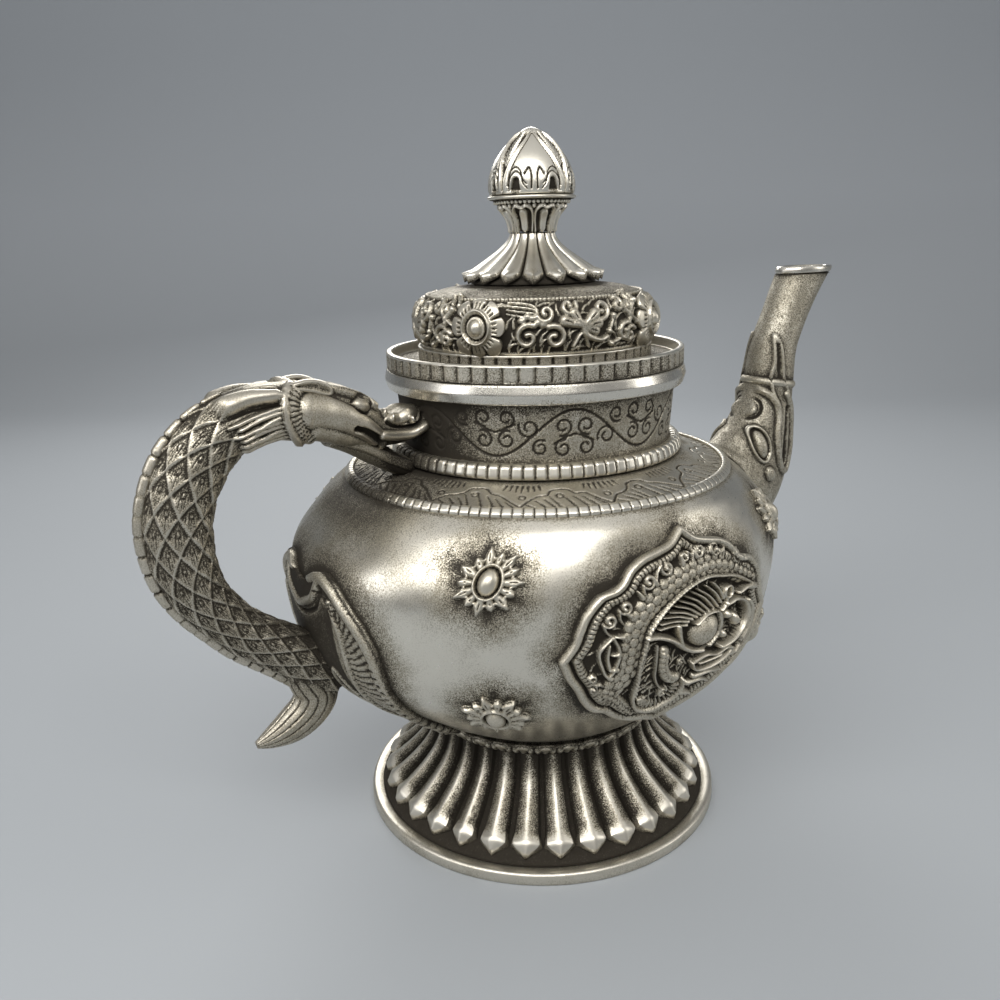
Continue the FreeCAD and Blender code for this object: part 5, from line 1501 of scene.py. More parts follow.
def headArt():
    art = Relief(-86, 88, 60, 34, 0.08)
    # mane: a drop-shaped lock over thinner strands
    for k in range(8):
        t = k / 7
        root = np.array([-66.5 + 1.2 * t, 112.2 - 5.6 * t])
        tip = np.array([-78.6 + 3.0 * (k % 3) + 1.2 * t, 109.6 - 5.4 * t - 0.7 * (k % 3 == 0)])
        art.stroke([root, (root + tip) / 2 + (0, 0.35), tip], 1.15, 1.15, (1.0, 0.75))
    art.stroke([(-66.4, 116.2), (-72.6, 116.6), (-78.6, 115.2), (-82.4, 113.4)], 1.3, 1.0, (1.0, 0.6))
    art.stroke([(-66.8, 114.3), (-72.6, 114.3), (-78.6, 113.0)], 3.3, 2.2, (0.62, 1.05))
    art.cut([(-66.8, 112.7), (-72.8, 112.2), (-78.2, 110.9), (-80.6, 111.8)], 0.5, 0.6, 1.0)
    # ruff: a crescent with hatching on its inner slope
    crescent = smoothLine([(-60.2, 116.4), (-63.0, 114.8), (-64.3, 112.4), (-64.1, 109.8), (-62.8, 107.2),
                           (-60.4, 104.6)])
    art.stroke(crescent, 4.6, 1.4, (0.7, 0.7))
    art.stroke(crescent - (1.7, 0), 2.3, 1.9, (0.8, 0.8), form="flat")
    crossTicks(art, crescent + (0.6, 0), 0.85, 2.2, 0.26, 0.45, ink=0.9)
    # cheek and jaw muscle, smooth and bright
    art.stroke([(-59.6, 110.6), (-56.4, 109.8), (-52.6, 108.2), (-48.6, 105.8), (-45.4, 103.4)], 7.6, 1.5, (1.0, 0.5))
    art.stroke([(-58.8, 106.2), (-55.0, 104.9), (-51.0, 103.0), (-46.0, 100.4)], 3.6, 1.3, (1.1, 0.8))
    # brow, eye, mouth
    art.stroke([(-57.4, 115.4), (-53.6, 114.2), (-50.4, 113.0), (-47.2, 111.6), (-44.8, 109.6)], 1.9, 1.3, (0.8, 0.8))
    art.dome(-48.7, 110.6, 2.3, 1.25, 1.25, -24, power=0.6)
    art.cut([(-51.2, 111.0), (-49.8, 109.4), (-47.8, 108.8), (-46.4, 109.6)], 0.5, 0.6, 1.0)
    art.cut([(-51.0, 111.6), (-49.2, 112.2), (-47.0, 111.4), (-46.2, 110.0)], 0.45, 0.5, 0.9)
    art.stroke([(-50.8, 106.3), (-48.6, 105.4), (-46.0, 103.7), (-43.6, 101.9)], 1.7, 1.9, (0.7, 1.0), how="cut",
               ink=1.0)
    # nose ball over the curled lip
    art.stroke([(-44.2, 103.6), (-41.0, 103.0), (-37.0, 102.9), (-33.2, 104.2)], 2.2, 1.7, (0.9, 0.9))
    art.dome(-38.6, 107.3, 4.6, 2.2, 1.6, 10, power=0.6)
    art.cut([(-42.6, 105.9), (-40.6, 104.8), (-37.6, 104.4), (-34.6, 105.0), (-33.2, 107.0)], 0.8, 1.1, 1.0)
    for x, y, size in ((-42.6, 107.7, 0.9), (-41.0, 106.2, 0.75), (-36.4, 105.6, 0.8)):
        art.dome(x, y, size, size, 1.9)
    art.dome(-43.8, 101.8, 0.9, 1.4, 1.6)
    # painted shadow under the front of the muzzle
    art.ink[:] = np.maximum(art.ink, 0.6 * smoothStep((art.x + 45) / 5) * smoothStep((103.5 - art.y) / 3))
    return art


def jawArt():
    art = Relief(-58, 88, 28, 20, 0.1)
    art.stroke([(-53.0, 103.4), (-47.0, 100.6), (-41.0, 97.0), (-37.0, 95.0)], 2.2, 0.5)
    # painted shadow growing towards the jaw's tip
    art.ink[:] = 0.75 * smoothStep((art.x + 47) / 7)
    return art


def makeHandle():
    size = handle["size"]
    head, jaw = headArt(), jawArt()
    grip = routeRows(handle["grip"], *size, -1, 0.42)
    tubePiece("dragon_grip", grip, "handle_silver", ["handle_grip", "handle_mane", "handle_gill"], 210,
              lambda *given: latticeLift(head, *given), near=("handle_ridge", "leaf_plate"))
    tubePiece("dragon_tail", routeRows(handle["tail"], *size, -1, 0.5), "handle_silver", ["handle_tail"], 140,
              tailLift,
              near=("leaf_plate", "handle_grip"))
    tubePiece("dragon_skull", routeRows(handle["skull"], *size, -1, 0.19), "handle_silver", ["handle_skull"], 210,
              lambda *given: sideDrawing(head, *given), near=("neck_tube", "handle_horns"), stop=handle["stop"])
    tubePiece("dragon_jaw", routeRows(handle["jaw"], *size, -1, 0.3), "handle_silver", ["handle_jaw"], 120,
              lambda *given: sideDrawing(jaw, *given), near=("handle_skull", "shoulder_collar"))
    # ears: flat loops laid back along the head
    for name, side in (("left", -1), ("right", 1)):
        tubePiece("dragon_ear_" + name, routeRows(handle["ear"], *size, -1, 0.25), "handle_silver", ["handle_horns"],
                  48, earLift,
                  side=side * handle["earSpread"])
    # the crest along the grip's back, cut into short plates
    rows, at = grip
    ahead = np.gradient(rows[:, :2], axis=0)
    ahead /= np.hypot(*ahead.T)[:, None]
    crest = rows.copy()
    crest[:, 0] += ahead[:, 1] * (rows[:, 2] / 2 + 0.25)
    crest[:, 1] -= ahead[:, 0] * (rows[:, 2] / 2 + 0.25)
    crest[:, 2:] = np.array(handle["crest"]) * (0.35 + 0.65 * smoothStep((at - 16) / 16))[:, None]
    keep = (at > 16) & (at < at[-1] - 6)
    tubePiece("dragon_crest", (crest[keep], at[keep]), "handle_silver", ["handle_ridge"], 40, crestLift)


def earLift(at, a, flat, out, total):
    share = at / total
    groove = np.exp(-((np.abs(out[:, 1]) - 1.0) / 0.16) ** 2) * smoothStep(np.minimum(share, 1 - share) * 6)
    return -0.8 * groove, 0.08 + 0.55 * groove, 0.8 * (1 - groove)


def crestLift(at, a, flat, out, total):
    across = (at / handle["plateLength"]) % 1
    gap = np.minimum(across, 1 - across) * handle["plateLength"]
    cut = smoothStep(1 - gap / 0.30)
    return -0.42 * cut, 0.22 + 0.75 * cut, 0.5 * (1 - cut)


makeHandle()
print("handle made")


# the spout: a relief-covered socket, a ring, a plain tube and a slanting oval lip
spout = {
    "size": (95.2, 133.8, 36.0), "wall": 1.3,
    "socket": [(0.567, 0.490, 1.00, 0.66), (0.656, 0.510, 0.94, 0.63), (0.757, 0.556, 0.85, 0.59),
               (0.814, 0.617, 0.69, 0.53),
               (0.842, 0.674, 0.52, 0.47), (0.860, 0.727, 0.42, 0.42), (0.867, 0.757, 0.40, 0.40)],
    "tube": [(0.867, 0.757, 0.40, 0.40), (0.882, 0.830, 0.366, 0.366), (0.917, 0.889, 0.356, 0.350),
             (0.960, 0.950, 0.385, 0.350),
             (1.012, 1.012, 0.440, 0.345)],
    "lip": (95.2, 19.2, 12.4, 131.6, 133.8),
}


def spoutArt():
    art = Relief(50, 44, 50, 94, 0.1)
    # a scroll that turns over below the ring and runs down round a long dark panel
    scroll = smoothLine([(69.4, 94.6), (67.4, 96.6), (67.0, 99.0), (69.2, 101.0), (72.8, 101.2), (76.4, 99.4),
                         (78.6, 96.2), (79.0, 92.4),
                         (78.0, 88.0), (77.8, 83.0), (78.8, 78.6), (81.4, 76.2), (83.8, 77.6), (85.0, 83.0),
                         (85.3, 89.0), (84.6, 94.0),
                         (82.4, 98.4)])
    art.stroke(scroll, 2.2, 1.0)
    art.stroke(scroll[4:90], 0.6, 1.35)
    art.dome(71.2, 95.6, 2.9, 2.9, 1.9, -15)
    art.cut([(68.0, 94.6), (69.6, 92.4), (72.2, 92.2), (74.4, 94.0), (74.8, 96.8), (73.0, 99.0)], 0.6, 0.6, 1.0)
    art.stroke([(82.6, 94.6), (82.2, 89.0), (81.5, 83.6), (81.4, 79.4)], 2.6, 0.9, (0.55, 1.15), form="flat",
               how="cut", ink=1.0)
    # outlined oval boss, drop, and the tongue that climbs over the ring
    oval = np.array([(71.9 + 2.7 * math.cos(t) - 0.2 * math.sin(t), 85.2 + 4.9 * math.sin(t)) for t in np.linspace(0,
            2 * math.pi, 30)])
    art.stroke(oval, 0.9, 1.0)
    art.cut(oval * 0.80 + np.array([71.9, 85.2]) * 0.20, 0.6, 0.4, 0.9)
    art.dome(71.9, 85.2, 1.8, 3.9, 1.5, 2)
    art.dome(74.0, 76.6, 1.9, 2.3, 1.4, 30)
    art.stroke([(78.9, 96.0), (78.1, 100.0), (78.0, 103.6), (79.0, 107.0), (79.4, 111.0), (80.0, 115.2),
                (80.9, 111.0),
                           (81.2, 106.0), (81.4, 102.4), (83.0, 99.0)], 1.0, 0.7)
    art.stroke([(79.9, 103.0), (80.1, 108.0), (80.2, 112.6)], 0.9, 0.5, how="cut", ink=0.9)
    art.stroke([(65.8, 96.0), (65.2, 99.4), (66.4, 102.4)], 1.2, 0.8)
    return art


def makeSpout():
    size = spout["size"]
    art = spoutArt()

    def socketLift(at, a, flat, out, total):
        rise, dark, bright = sideDrawing(art, at, a, flat, out, total, 0.34)
        gap = nearNodes(flat, ("belly_shell",), 5.0)
        seam = np.exp(-((gap - 1.7) / 0.75) ** 2)
        sunk = np.exp(-((gap - 3.3) / 0.6) ** 2)
        # painted shade in the groove round the socket and where it meets the belly
        dark = dark + 0.6 * sunk + 0.8 * smoothStep((0.9 - gap) / 0.9)
        return rise + 0.9 * seam - 0.25 * sunk, dark, np.maximum(bright, 0.9 * seam)

    tubePiece("spout_body", routeRows(spout["socket"], *size, 1, 0.32), "spout_silver",
              ["spout_socket", "spout_relief"], 250,
              socketLift, near=("upper_rosettes",))
    tubePiece("spout_neck", routeRows(spout["tube"], *size, 1, 0.5), "spout_silver", ["spout_tube"], 130,
              lambda *given: sideDrawing(art, *given, base=0.30), near=("spout_ring", "spout_lip"),
              bore=(spout["wall"], 60), top=spout["lip"][3])
    before, here = np.array(spout["socket"][-2:])
    way = (here - before)[:2] * size[:2]
    way /= np.hypot(*way)
    rows = []
    for along, grown in ((-1.2, -0.4), (-1.05, 0.1), (-0.6, 0.5), (0, 0.66), (0.6, 0.5), (1.05, 0.1), (1.2, -0.4)):
        rows.append((*(here[:2] * size[:2] + way * along), *(size[2] * here[2:] + 2 * grown)))
    rows = smoothLine(rows, 3)
    tubePiece("spout_joint", (rows, np.arange(len(rows)) * 0.2), "spout_silver", ["spout_ring"], 120,
              lambda at, a, flat, out, total: (0 * a, 0 * a, 0 * a), 0.08, near=("spout_tube", "spout_socket"))
    # lip
    x, long, wide, foot, top = spout["lip"]
    # the ring's closed section: how far it drifts back, how much wider it is, height
    section = np.array([(0.7, -0.8, foot + 0.05), (0.4, -0.1, foot + 0.5), (0.2, 0, foot + 1.3),
                        (0, -0.05, top - 0.35),
                        (0, -0.35, top - 0.02), (0, -1.6, top - 0.05), (0, -2.0, top - 0.4), (0.3, -2.05, foot + 0.8),
                        (0.7, -2.1, foot + 0.05), (0.7, -0.8, foot + 0.05)])
    section = np.stack([np.interp(np.linspace(0, 1, 40), np.linspace(0, 1, len(section)), k) for k in section.T], 1)
    mesh, u, v = gridMesh(160, 39)
    t = u * 2 * math.pi
    drift, grown, z = section[np.round(v * 39).astype(int)].T
    spots = np.stack([x - drift + (long / 2 + grown) * np.cos(t), (wide / 2 + grown) * np.sin(t), z], 1)
    shapeMesh(mesh, spots)
    # the lip's inner wall and its foot are painted dark, as shade; its top is rubbed bright
    setMarks(mesh, 0.10 + 0.5 * (grown < -1.8) + 0.3 * (z < foot + 0.3), 0.8 * (z > top - 0.5))
    addPiece("spout_mouth", mesh, "polished_silver", pot, ["spout_lip"])


makeSpout()
print("spout made")


# the lid: a notched flange and step ring, a drum of scrolls with daisies, flutes and a lotus bud
lidSizes = {"flangeCells": 64, "stepCells": 56, "cutWidth": 0.44, "cutDepth": 0.7, "drumStep": 0.11,
            "flowerTurn": -148.7,
            "flowers": 4, "drumRadius": 28}


def ringCells(low, high, count, radius):
    def lift(theta, r, z, nr, nz, run):
        wall = smoothStep((nr - 0.5) * 4) * smoothStep((high - 0.35 - z) / 0.3)
        shape, cut = cellRise(theta, count, lidSizes["cutWidth"], lidSizes["cutDepth"], radius)
        cell = np.floor(theta * count / (2 * math.pi))
        uneven = 0.10 * np.sin(cell * 12.9 + 4.1) + 0.08 * np.sin(cell * 4.7)
        # the level floor inside and the wall's foot are painted dark, as shade; the cuts hold tarnish and painted
        # shade
        floor = (nz > 0.5) & (r < radius - 1.8)
        dark = cut * wall * 0.98 + np.where(floor, 0.62, 0.10 + 0.25 * wall * (1 - cut) + uneven * wall)
        dark = dark + 0.5 * np.exp(-np.clip(z - low, 0, 9) / 0.35) * (nr > 0.4)
        return (shape - 0.12) * wall, dark, np.where(z > high - 0.5, 0.8, 0.2) * (~floor)
    return lift


def makeFlange():
    low, high = boxOf("lid_flange")
    r, foot, top = high[0], low[2], high[2]
    outline = rounded([(25.6, foot), (r - 0.15, foot), (r, foot + 0.2), (r, top - 0.45), (r - 0.4, top),
                       (r - 1.3, top), (r - 1.5, top - 0.3),
                       (r - 1.5, foot + 1.4), (25.6, foot + 1.3)], 0.18, 2)
    cells = lidSizes["flangeCells"]
    spunPiece("lid_flange_ring", outline, "bead_silver", lid, ["lid_flange"], cells * 10, 0.46,
              ringCells(foot, top, cells, r), base=0.0)
    low, high = boxOf("lid_step_ring")
    r, foot, top = high[0], low[2], high[2]
    outline = rounded([(r - 2.6, foot), (r, foot), (r, top - 0.2), (r - 0.35, top), (r - 2.6, top)], 0.18, 2)
    cells = lidSizes["stepCells"]
    spunPiece("lid_step", outline, "bead_silver", lid, ["lid_step_ring"], cells * 12, 0.42,
              ringCells(foot, top, cells, r), base=0.0)


drumSide = smoothLine([(26.4, 120.0), (27.5, 121.6), (28.0, 124.4), (27.9, 127.2), (26.9, 129.8), (24.6, 131.75)], 10)


def drumArt():
    around, tall = 2 * math.pi * lidSizes["drumRadius"], 13.4
    art = Relief(0, 0, around, tall, lidSizes["drumStep"], True)
    first = (math.radians(lidSizes["flowerTurn"]) % (2 * math.pi)) * lidSizes["drumRadius"]
    daisies = [first + k * (around / lidSizes["flowers"]) for k in range(lidSizes["flowers"])]
    for x in daisies:
        # cloud bands trailing right from the daisy
        for j in range(4):
            art.stroke([(x + 6.2, 11.4 - j * 0.8), (x + 9.0, 11.2 - j * 0.9), (x + 11.8, 10.6 - j * 0.75),
                        (x + 13.0, 9.6 - j * 0.5)],
                       0.55, 1.0, (0.7, 1.0))
        for cx, cy, size, start, hand, turns in ((x + 10.8, 4.3, 2.7, 60, 1, 1.15),
                                                 (x + 16.4, 4.1, 2.6, 120, -1, 1.1),
                                                 (x + 14.6, 9.0, 1.9, 200, 1, 1.1),
                                                 (x + 19.6, 10.2, 1.9, 20, -1, 1.1),
                                                 (x + 27.2, 9.3, 2.3, 200, 1, 1.2),
                                                 (x + 32.0, 10.0, 1.6, 90, -1, 1.0),
                                                 (x + 33.8, 4.2, 2.2, 60, 1, 1.1), (x - 9.2, 9.6, 1.6, 0, -1, 1.1),
                                                 (x - 8.6, 3.6, 1.9, 40, 1, 1.1)):
            line = spiral(cx, cy, size, turns, start, hand, 0.2)
            art.stroke(line, 1.2, 1.3, (1.15, 0.85))
            art.dome(*line[-1], 0.7, 0.7, 1.45)
        for j in range(5):
            t = j / 4
            art.dome(x + 9.6 + 4.4 * t, 7.6 + 0.8 * math.sin(t * 5), 1.05, 0.8, 1.3)
        # a moth with folded wings
        for turn, long in ((158, 4.0), (118, 3.6), (42, 4.2), (8, 3.8), (-24, 3.2)):
            a = math.radians(turn)
            root = np.array([x + 22.4, 6.2])
            tip = root + long * np.array([math.cos(a), 0.8 * math.sin(a)])
            art.stroke(np.array([root, (root + tip) / 2, tip]), 2.5, 1.6, (0.45, 1.1))
            art.cut(np.array([root * 0.4 + tip * 0.6, tip]), 0.3, 0.35, 0.7)
        art.stroke([(x + 22.4, 6.8), (x + 23.4, 4.4), (x + 26.6, 3.2), (x + 28.4, 3.8)], 1.7, 1.6, (1.1, 0.6))
        art.stroke([(x + 20.6, 2.2), (x + 22.4, 4.8), (x + 24.2, 2.0)], 0.8, 1.2)
        # twigs with berries towards the next daisy
        for dx, dy, turn in ((29.4, 5.6, 70), (30.8, 2.4, 20), (35.6, 7.6, 60), (36.4, 10.6, 110), (-6.8, 6.6, 150),
                             (-5.9, 11.2, 120)):
            a = math.radians(turn)
            root = np.array([x + dx, dy])
            tip = root + 2.4 * wayOf(a)
            art.stroke(np.array([root, tip]), 0.7, 1.2)
            art.dome(*tip, 0.85, 0.75, 1.5)
            art.dome(*(root - (tip - root) * 0.35), 0.7, 0.7, 1.4)
    inside = (art.y > 0.9) & (art.y < tall - 1.5)
    for x in daisies:
        off = np.abs((art.x - x % around + around / 2) % around - around / 2)
        inside &= np.hypot(off, art.y - 6.0) > 6.2
    fillGround(art, inside, 0.0, (1.7, 1.35), 1800, 9)
    fillStrokes(art, inside, 0.0, 9000, 19, 0.6)
    edge = np.stack([np.linspace(0, around, 400), np.full(400, 12.5)], 1)
    art.stroke(edge, 0.8, 0.8)
    crossTicks(art, edge, 1.0, 1.1, 0.3, 0.45)
    art.stroke(edge - (0, 12.1), 0.7, 0.6)
    # the low ground of the drum is painted dark, tarnish and painted shade
    art.ink[(art.h < 0.08) & (art.y < 12.2)] = 0.80
    return art


def onDrum(length):
    run = runOf(drumSide)
    slope = np.gradient(drumSide, axis=0)
    slope /= np.hypot(*slope.T)[:, None]
    r, z = (np.interp(length, run, drumSide[:, k]) for k in (0, 1))
    nr, nz = np.interp(length, run, slope[:, 1]), -np.interp(length, run, slope[:, 0])
    return r, z, nr, nz


def makeDrum():
    art = drumArt()
    run = runOf(drumSide)
    side = np.stack([np.interp(np.arange(0, run[-1], 0.2), run, drumSide[:, k]) for k in (0, 1)], 1)
    crown = smoothLine([(24.0, 131.95), (21.5, 132.75), (17.0, 133.4), (11.0, 133.75), (5.6, 133.8)], 4)
    inner = np.array([(1.65, 133.8), (1.65, 132.5), (5.6, 132.5), (23.4, 130.65), (26.4, 127.4), (26.7, 124.0),
                      (25.1, 120.0)])
    outline = np.vstack([side, crown, inner])
    dark, bright = art.shades(((0.4, 1.5), (1.0, 0.8)), worn=1.3)

    def lift(theta, r, z, nr, nz, along):
        outside = (along <= run[-1]) & (nr + nz > -0.2)
        x = theta * lidSizes["drumRadius"]
        satin = waves(np.stack([r * np.cos(theta), r * np.sin(theta), z], 1), 14.0, 31)
        # the inner faces are painted dark, and painted shade lies on the crown round the foot of the flutes
        tarnish_and_shade = np.where(outside, art.read(dark, x, along), np.where(nz > 0.3, 0.30 + 0.06 * satin, 0.6))
        tarnish_and_shade = tarnish_and_shade + 0.45 * np.exp(-np.clip(r - 16.9, 0, 99) / 1.2) * (nz > 0.6) * (r > 15)
        return art.read(art.h, x, along) * outside, tarnish_and_shade, art.read(bright, x, along) * outside
    spunPiece("lid_drum_relief", outline, "lid_silver", lid, ["lid_drum", "lid_rope"], 720, 2.0, lift, base=0.24)


def flowerArt():
    art = Relief(-8, -9, 16, 17, 0.08)
    lobes = [(90, 5.5), (45, 5.9), (5, 6.1), (-50, 6.7), (-90, 5.4), (-130, 6.7), (175, 6.1), (135, 5.9)]
    outline = []
    for k in range(160):
        a = 360 * k / 160
        gap, reach = min((abs((a - turn + 180) % 360 - 180), long) for turn, long in lobes)
        outline.append((math.radians(a), reach * (1 - 0.17 * (gap / 24) ** 2.4)))
    art.dome(0, 0, 7.6, 7.6, 2.1, power=0.35)
    for (turn, long), (other, _) in zip(lobes, lobes[1:] + lobes[:1]):
        between = math.radians(turn - ((turn - other) % 360) / 2)
        way = wayOf(between)
        art.stroke(np.array([way * 3.9, way * 7.2]), 0.85, 1.3, (0.4, 1.3), how="cut", ink=1.0)
    for k in range(30):
        way = wayOf(k * math.pi / 15)
        art.cut(np.array([way * 3.7, way * 4.5]), 0.30, 0.5, 1.0)
    art.ring(0, 0, 3.0, 0.9, 2.7)
    art.dome(0, 0, 2.0, 2.0, 3.2)
    circle = np.array([(2.3 * math.cos(t), 2.3 * math.sin(t)) for t in np.linspace(0, 2 * math.pi, 24)])
    art.cut(circle, 0.45, 0.7, 1.0)
    return art, np.array([(r * math.cos(a), r * math.sin(a)) for a, r in outline])


def makeFlowers():
    art, outline = flowerArt()
    for k in range(lidSizes["flowers"]):
        turn = math.radians(lidSizes["flowerTurn"] + 90 * k)

        def place(x, y, height):
            r, z, nr, nz = onDrum(np.clip(y + 6.2, 0, 13.3))
            below = np.clip(-(y + 6.2), 0, 9)
            spread = turn + x / lidSizes["drumRadius"]
            reach = r + nr * height + 0.35 * below
            return np.stack([reach * np.cos(spread), reach * np.sin(spread), z + nz * height - below], 1)
        platePiece(f"lid_daisy_{k + 1}", "lid_silver", lid, ["lid_flowers"], outline, place, art, 150, 44,
                   ((0.3, 1.5), (0.8, 0.7)), 0.2)


makeFlange()
makeDrum()
makeFlowers()
print("lid drum made")


# finial: flutes, a lotus cup, a bead row and the bud
flutes = {"count": 16, "top": (4.75, 145.2), "foot": (16.6, 133.95), "power": 1.7, "cells": 12, "length": 36,
          "ridge": 1.65, "edge": 0.70,
          "fill": 0.96, "tipStart": 0.84, "tipEnd": 0.99}
bud = {"petals": 4, "low": 153.5, "turn": -165.0,
       "outline": [(9.3, 153.5), (10.0, 154.3), (10.15, 155.7), (9.95, 157.2), (9.35, 159.2), (8.4, 161.2),
                   (7.0, 163.2), (5.15, 165.2),
                   (3.2, 166.8), (1.6, 167.9), (0, 168.4)]}


def makeFlutes():
    count, top, foot = flutes["count"], flutes["top"], flutes["foot"]
    mesh, u, v = gridMesh(flutes["cells"], flutes["length"])
    share = v ** 0.95 * flutes["tipEnd"]
    across = (u - 0.5) * 2
    flared = flare(top, foot, flutes["power"], share)
    radius = flared[0]
    end = np.clip((share - flutes["tipStart"]) / (flutes["tipEnd"] - flutes["tipStart"]), 0, 1)
    half = math.pi * radius / count * flutes["fill"] * (1 - 0.94 * end)
    grown = 0.35 + 0.65 * smoothStep(share * 1.3)
    rise = (flutes["edge"] + (flutes["ridge"] - flutes["edge"]) * (1 - across ** 2)) * grown + 0.7 * end
    side = (np.abs(across) > 0.999) | (v < 1e-6) | (v > 0.9999)
    rise = np.where(side, 0.0, rise)
    # painted dark along the grooves between flutes, tarnish and painted shade, with a darker band where the tips
    # begin
    dark = 0.08 + 0.35 * smoothStep((np.abs(across) - 0.8) / 0.2) + 0.22 * np.exp(-((share - 0.84) / 0.06) ** 2)
    dark = np.where(side, 1.0, dark)
    turnedRing("finial_petals", mesh, flared, across * half, (rise, 0.0), dark, np.where(side, 0, 0.8), count,
               "finial_silver", lid, ["finial_flutes"], 5, 0.03, 38)
    line = []
    for t in np.linspace(0, 1, 14):
        r, z = flare(top, foot, flutes["power"], t)[:2]
        line.append((r - 0.15 - 1.6 * t ** 4, z + 0.02))
    outline = np.array([(1.65, top[1])] + line + [(foot[0] - 2.2, 133.85), (1.65, 133.85)])
    # the core under the flutes is painted dark all over, as shade
    spunPiece("finial_base", outline, "lid_silver", lid, ["finial_core"], 128, 1.2,
              lambda theta, r, z, nr, nz, run: (0 * r, 0.95 + 0 * r, 0 * r))


def makeCup():
    around = 2 * math.pi * 8
    art = Relief(0, 0, around, 9.0, 0.08, True)
    pitch = around / 8
    for k in range(8):
        x = (k + 0.5) * pitch
        outer = smoothLine([(x - 2.6, 0.3), (x - 2.8, 3.4), (x - 2.5, 5.6), (x - 1.3, 6.9), (x, 6.2), (x + 1.3, 6.9),
                            (x + 2.5, 5.6), (x + 2.8, 3.4), (x + 2.6, 0.3)])
        art.stroke(outer, 0.75, 1.0)
        panel = np.array([(x, 1.2), (x, 4.3)])
        art.stroke(panel, 2.9, 0.75, form="flat")
        art.dome(x + pitch / 2, 6.6, 0.5, 0.6, 0.8)
    top = np.stack([np.linspace(0, around, 300), np.full(300, 7.9)], 1)
    beadLine(art, top, 0.95, 0.42, 0.6)
    # the cup's low ground is painted fully dark, tarnish and painted shade
    art.ink[art.h < 0.08] = 1.0
    dark, bright = art.shades(((0.3, 1.4),))
    side = smoothLine([(5.0, 145.25), (5.2, 147.0), (5.9, 148.9), (7.4, 150.8), (9.3, 152.3)], 12)
    run = runOf(side)
    outline = np.vstack([side, [(9.0, 152.4), (1.65, 152.4), (1.65, 145.25)]])

    def lift(theta, r, z, nr, nz, along):
        out = (along <= run[-1]) & (nr > 0.3)
        x = (theta - math.radians(bud["turn"])) * 8
        rise = (art.read(art.h, x, along) - 0.25) * out
        return rise, np.where(out, art.read(dark, x, along), 0.6), art.read(bright, x, along) * out
    spunPiece("lotus_cup", outline, "finial_silver", lid, ["finial_cup"], 360, 0.30, lift, base=0.04)
    belt = rounded([(8.2, 152.45), (9.6, 152.45), (10.35, 152.75), (10.35, 153.2), (9.6, 153.45), (8.2, 153.45)], 0.2)
    # the belt's underside is painted dark, as shade; its top is rubbed bright
    spunPiece("lotus_belt", np.vstack([[(0, 152.45)], belt[4:-4], [(0, 153.45)]]), "finial_silver", lid,
              ["finial_belt"], 200, 0.3,
              lambda theta, r, z, nr, nz, run: (0 * r, 0.08 + 0.7 * (z < 152.6), 0.7 * (z > 152.6)))


def budArt():
    around = 2 * math.pi * 10
    art = Relief(0, 0, around, 21.0, 0.09, True)
    pitch = around / bud["petals"]
    for k in range(bud["petals"]):
        x = (k + 0.5) * pitch
        # the petal behind, feathered, between two front ones
        for j in range(12):
            for side in (-1, 1):
                root = np.array([x + pitch / 2, 7.0 + j * 0.85])
                art.stroke(np.array([root, root + (side * 1.7, 1.5)]), 0.55, 0.35, (1.1, 0.7))
        edge = smoothLine([(x - 7.3, 0.9), (x - 7.0, 4.6), (x - 5.6, 9.0), (x - 3.4, 13.2), (x, 17.4),
                           (x + 3.4, 13.2), (x + 5.6, 9.0), (x + 7.0, 4.6),
                           (x + 7.3, 0.9)])
        for p, cell in art.windows(edge, 0.5):
            px, py = art.x[cell], art.y[cell]
            left = np.interp(py, edge[:33, 1], p[:33, 0])
            right = np.interp(py, edge[32:][::-1, 1], p[32:][::-1, 0])
            inside = (px > left) & (px < right) & (py < 17.4)
            art.h[cell] = np.where(inside, 0.65, art.h[cell])
        art.stroke(edge, 0.85, 0.95)
        groove = (edge - (x, 6.0)) * (0.84, 0.88) + (x, 6.0)
        art.cut(groove, 0.42, 0.35, 0.8)
        for side in (-1, 1):
            arch = smoothLine([(x + side * 6.1, 1.0), (x + side * 5.8, 3.8), (x + side * 4.5, 5.2),
                               (x + side * 3.2, 4.4), (x + side * 2.6, 2.6), (x + side * 1.7, 1.4)])
            art.cut(arch, 0.35, 0.35, 0.9)
            art.cut(arch + (side * 0.2, 1.0), 0.35, 0.35, 0.9)
            art.stroke(np.array([(x + side * 4.5, 1.2), (x + side * 4.4, 3.2)]), 2.3, 1.0, (1.2, 0.8), form="flat",
                       how="cut", ink=1.0)
            art.cut([(x + side * 2.3, 4.6), (x + side * 1.3, 6.0), (x + side * 0.7, 4.4), (x + side * 0.7, 1.4)],
                    0.45, 0.45, 0.95)
    # the bud's low ground is painted dark, tarnish and painted shade
    art.ink[art.h < 0.1] = 0.8
    band = np.stack([np.linspace(0, around, 300), np.full(300, 0.55)], 1)
    art.stroke(band, 1.0, 0.9)
    calm = smoothStep((art.y - 15.5) / 2.0)
    art.h[:] = art.h * (1 - calm) + 0.65 * calm
    art.ink *= 1 - calm
    return art


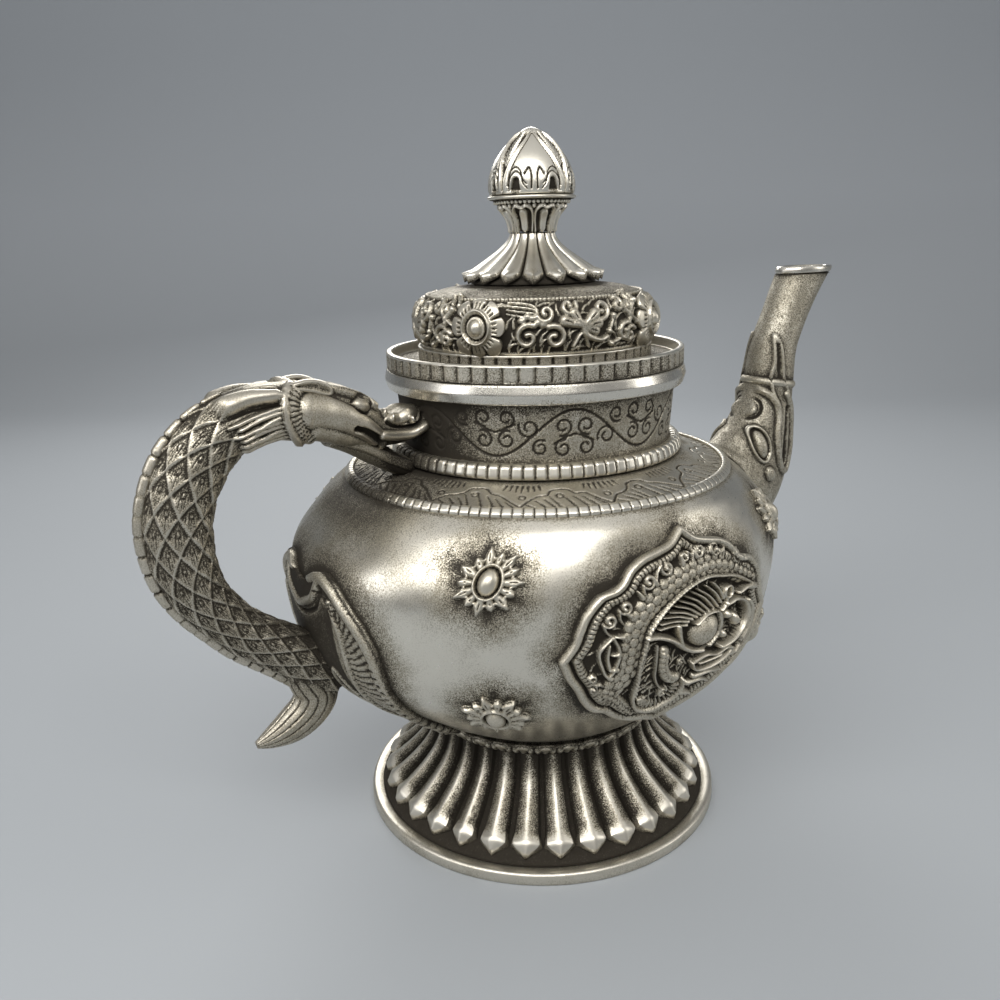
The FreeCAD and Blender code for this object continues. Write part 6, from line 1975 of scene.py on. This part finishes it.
def makeBud():
    art = budArt()
    dark = art.shades(((0.3, 1.3), (0.8, 0.6)))[0]
    side = smoothLine(bud["outline"], 12)
    outline = np.vstack([[(0, bud["low"])], side])

    def lift(theta, r, z, nr, nz, along):
        along = along - 9.3
        out = along >= 0
        x = (theta - math.radians(bud["turn"])) * 10
        shade = art.read(dark, x, along)
        rise = (art.read(art.h, x, along) - 0.65) * out * smoothStep(r / 1.5)
        return rise, np.where(out, shade, 0.6), 0.9 * out * (1 - shade)
    spunPiece("lotus_bud", outline, "finial_silver", lid, ["finial_bud"], 420, 0.22, lift, base=0.03)


makeFlutes()
makeCup()
makeBud()
print("finial made")


# the waist: a scalloped ring of lobes over small beads, between foot and belly
waist = {"lobes": 34}


def makeWaist():
    low, high = boxOf("waist_ring")
    r = high[0]
    outline = rounded([(27.5, low[2] - 0.5), (r - 0.8, low[2] - 0.5), (r + 0.1, low[2] + 0.2),
                       (r + 1.2, high[2] - 0.6), (r + 1.2, high[2] + 0.5),
                       (27.5, high[2] + 0.6)], 0.3)

    def lobes(theta, radius, z, nr, nz, run):
        across = (theta * waist["lobes"] / (2 * math.pi)) % 1 * 2 - 1
        lobe = np.clip(1 - across ** 2 - ((z - low[2] - 0.9) / 2.5) ** 2, 0, 1) ** 0.4
        groove = np.exp(-((np.hypot(across, (z - low[2] - 0.9) / 2.5) - 0.62) / 0.07) ** 2)
        bead = np.abs(np.sin(theta * waist["lobes"] * 1.5))
        facing = smoothStep(nr * 2 + 0.4)
        upper = smoothStep((z - low[2] - 0.7) / 0.4)
        rise = (-(1.5 * (1 - lobe) + 0.25 * groove) * upper - 0.7 * (1 - bead ** 0.7) * (1 - upper)) * facing
        dark = ((0.9 * (1 - lobe) + 0.6 * groove) * upper + 0.8 * (1 - bead) * (1 - upper)) * facing + 0.15
        return rise, dark, 0.5 * lobe
    spunPiece("waist_beading", outline, "relief_silver", pot, ["waist_ring"], waist["lobes"] * 18, 0.28, lobes)


makeWaist()
bpy.context.scene.view_settings.view_transform = "Standard"
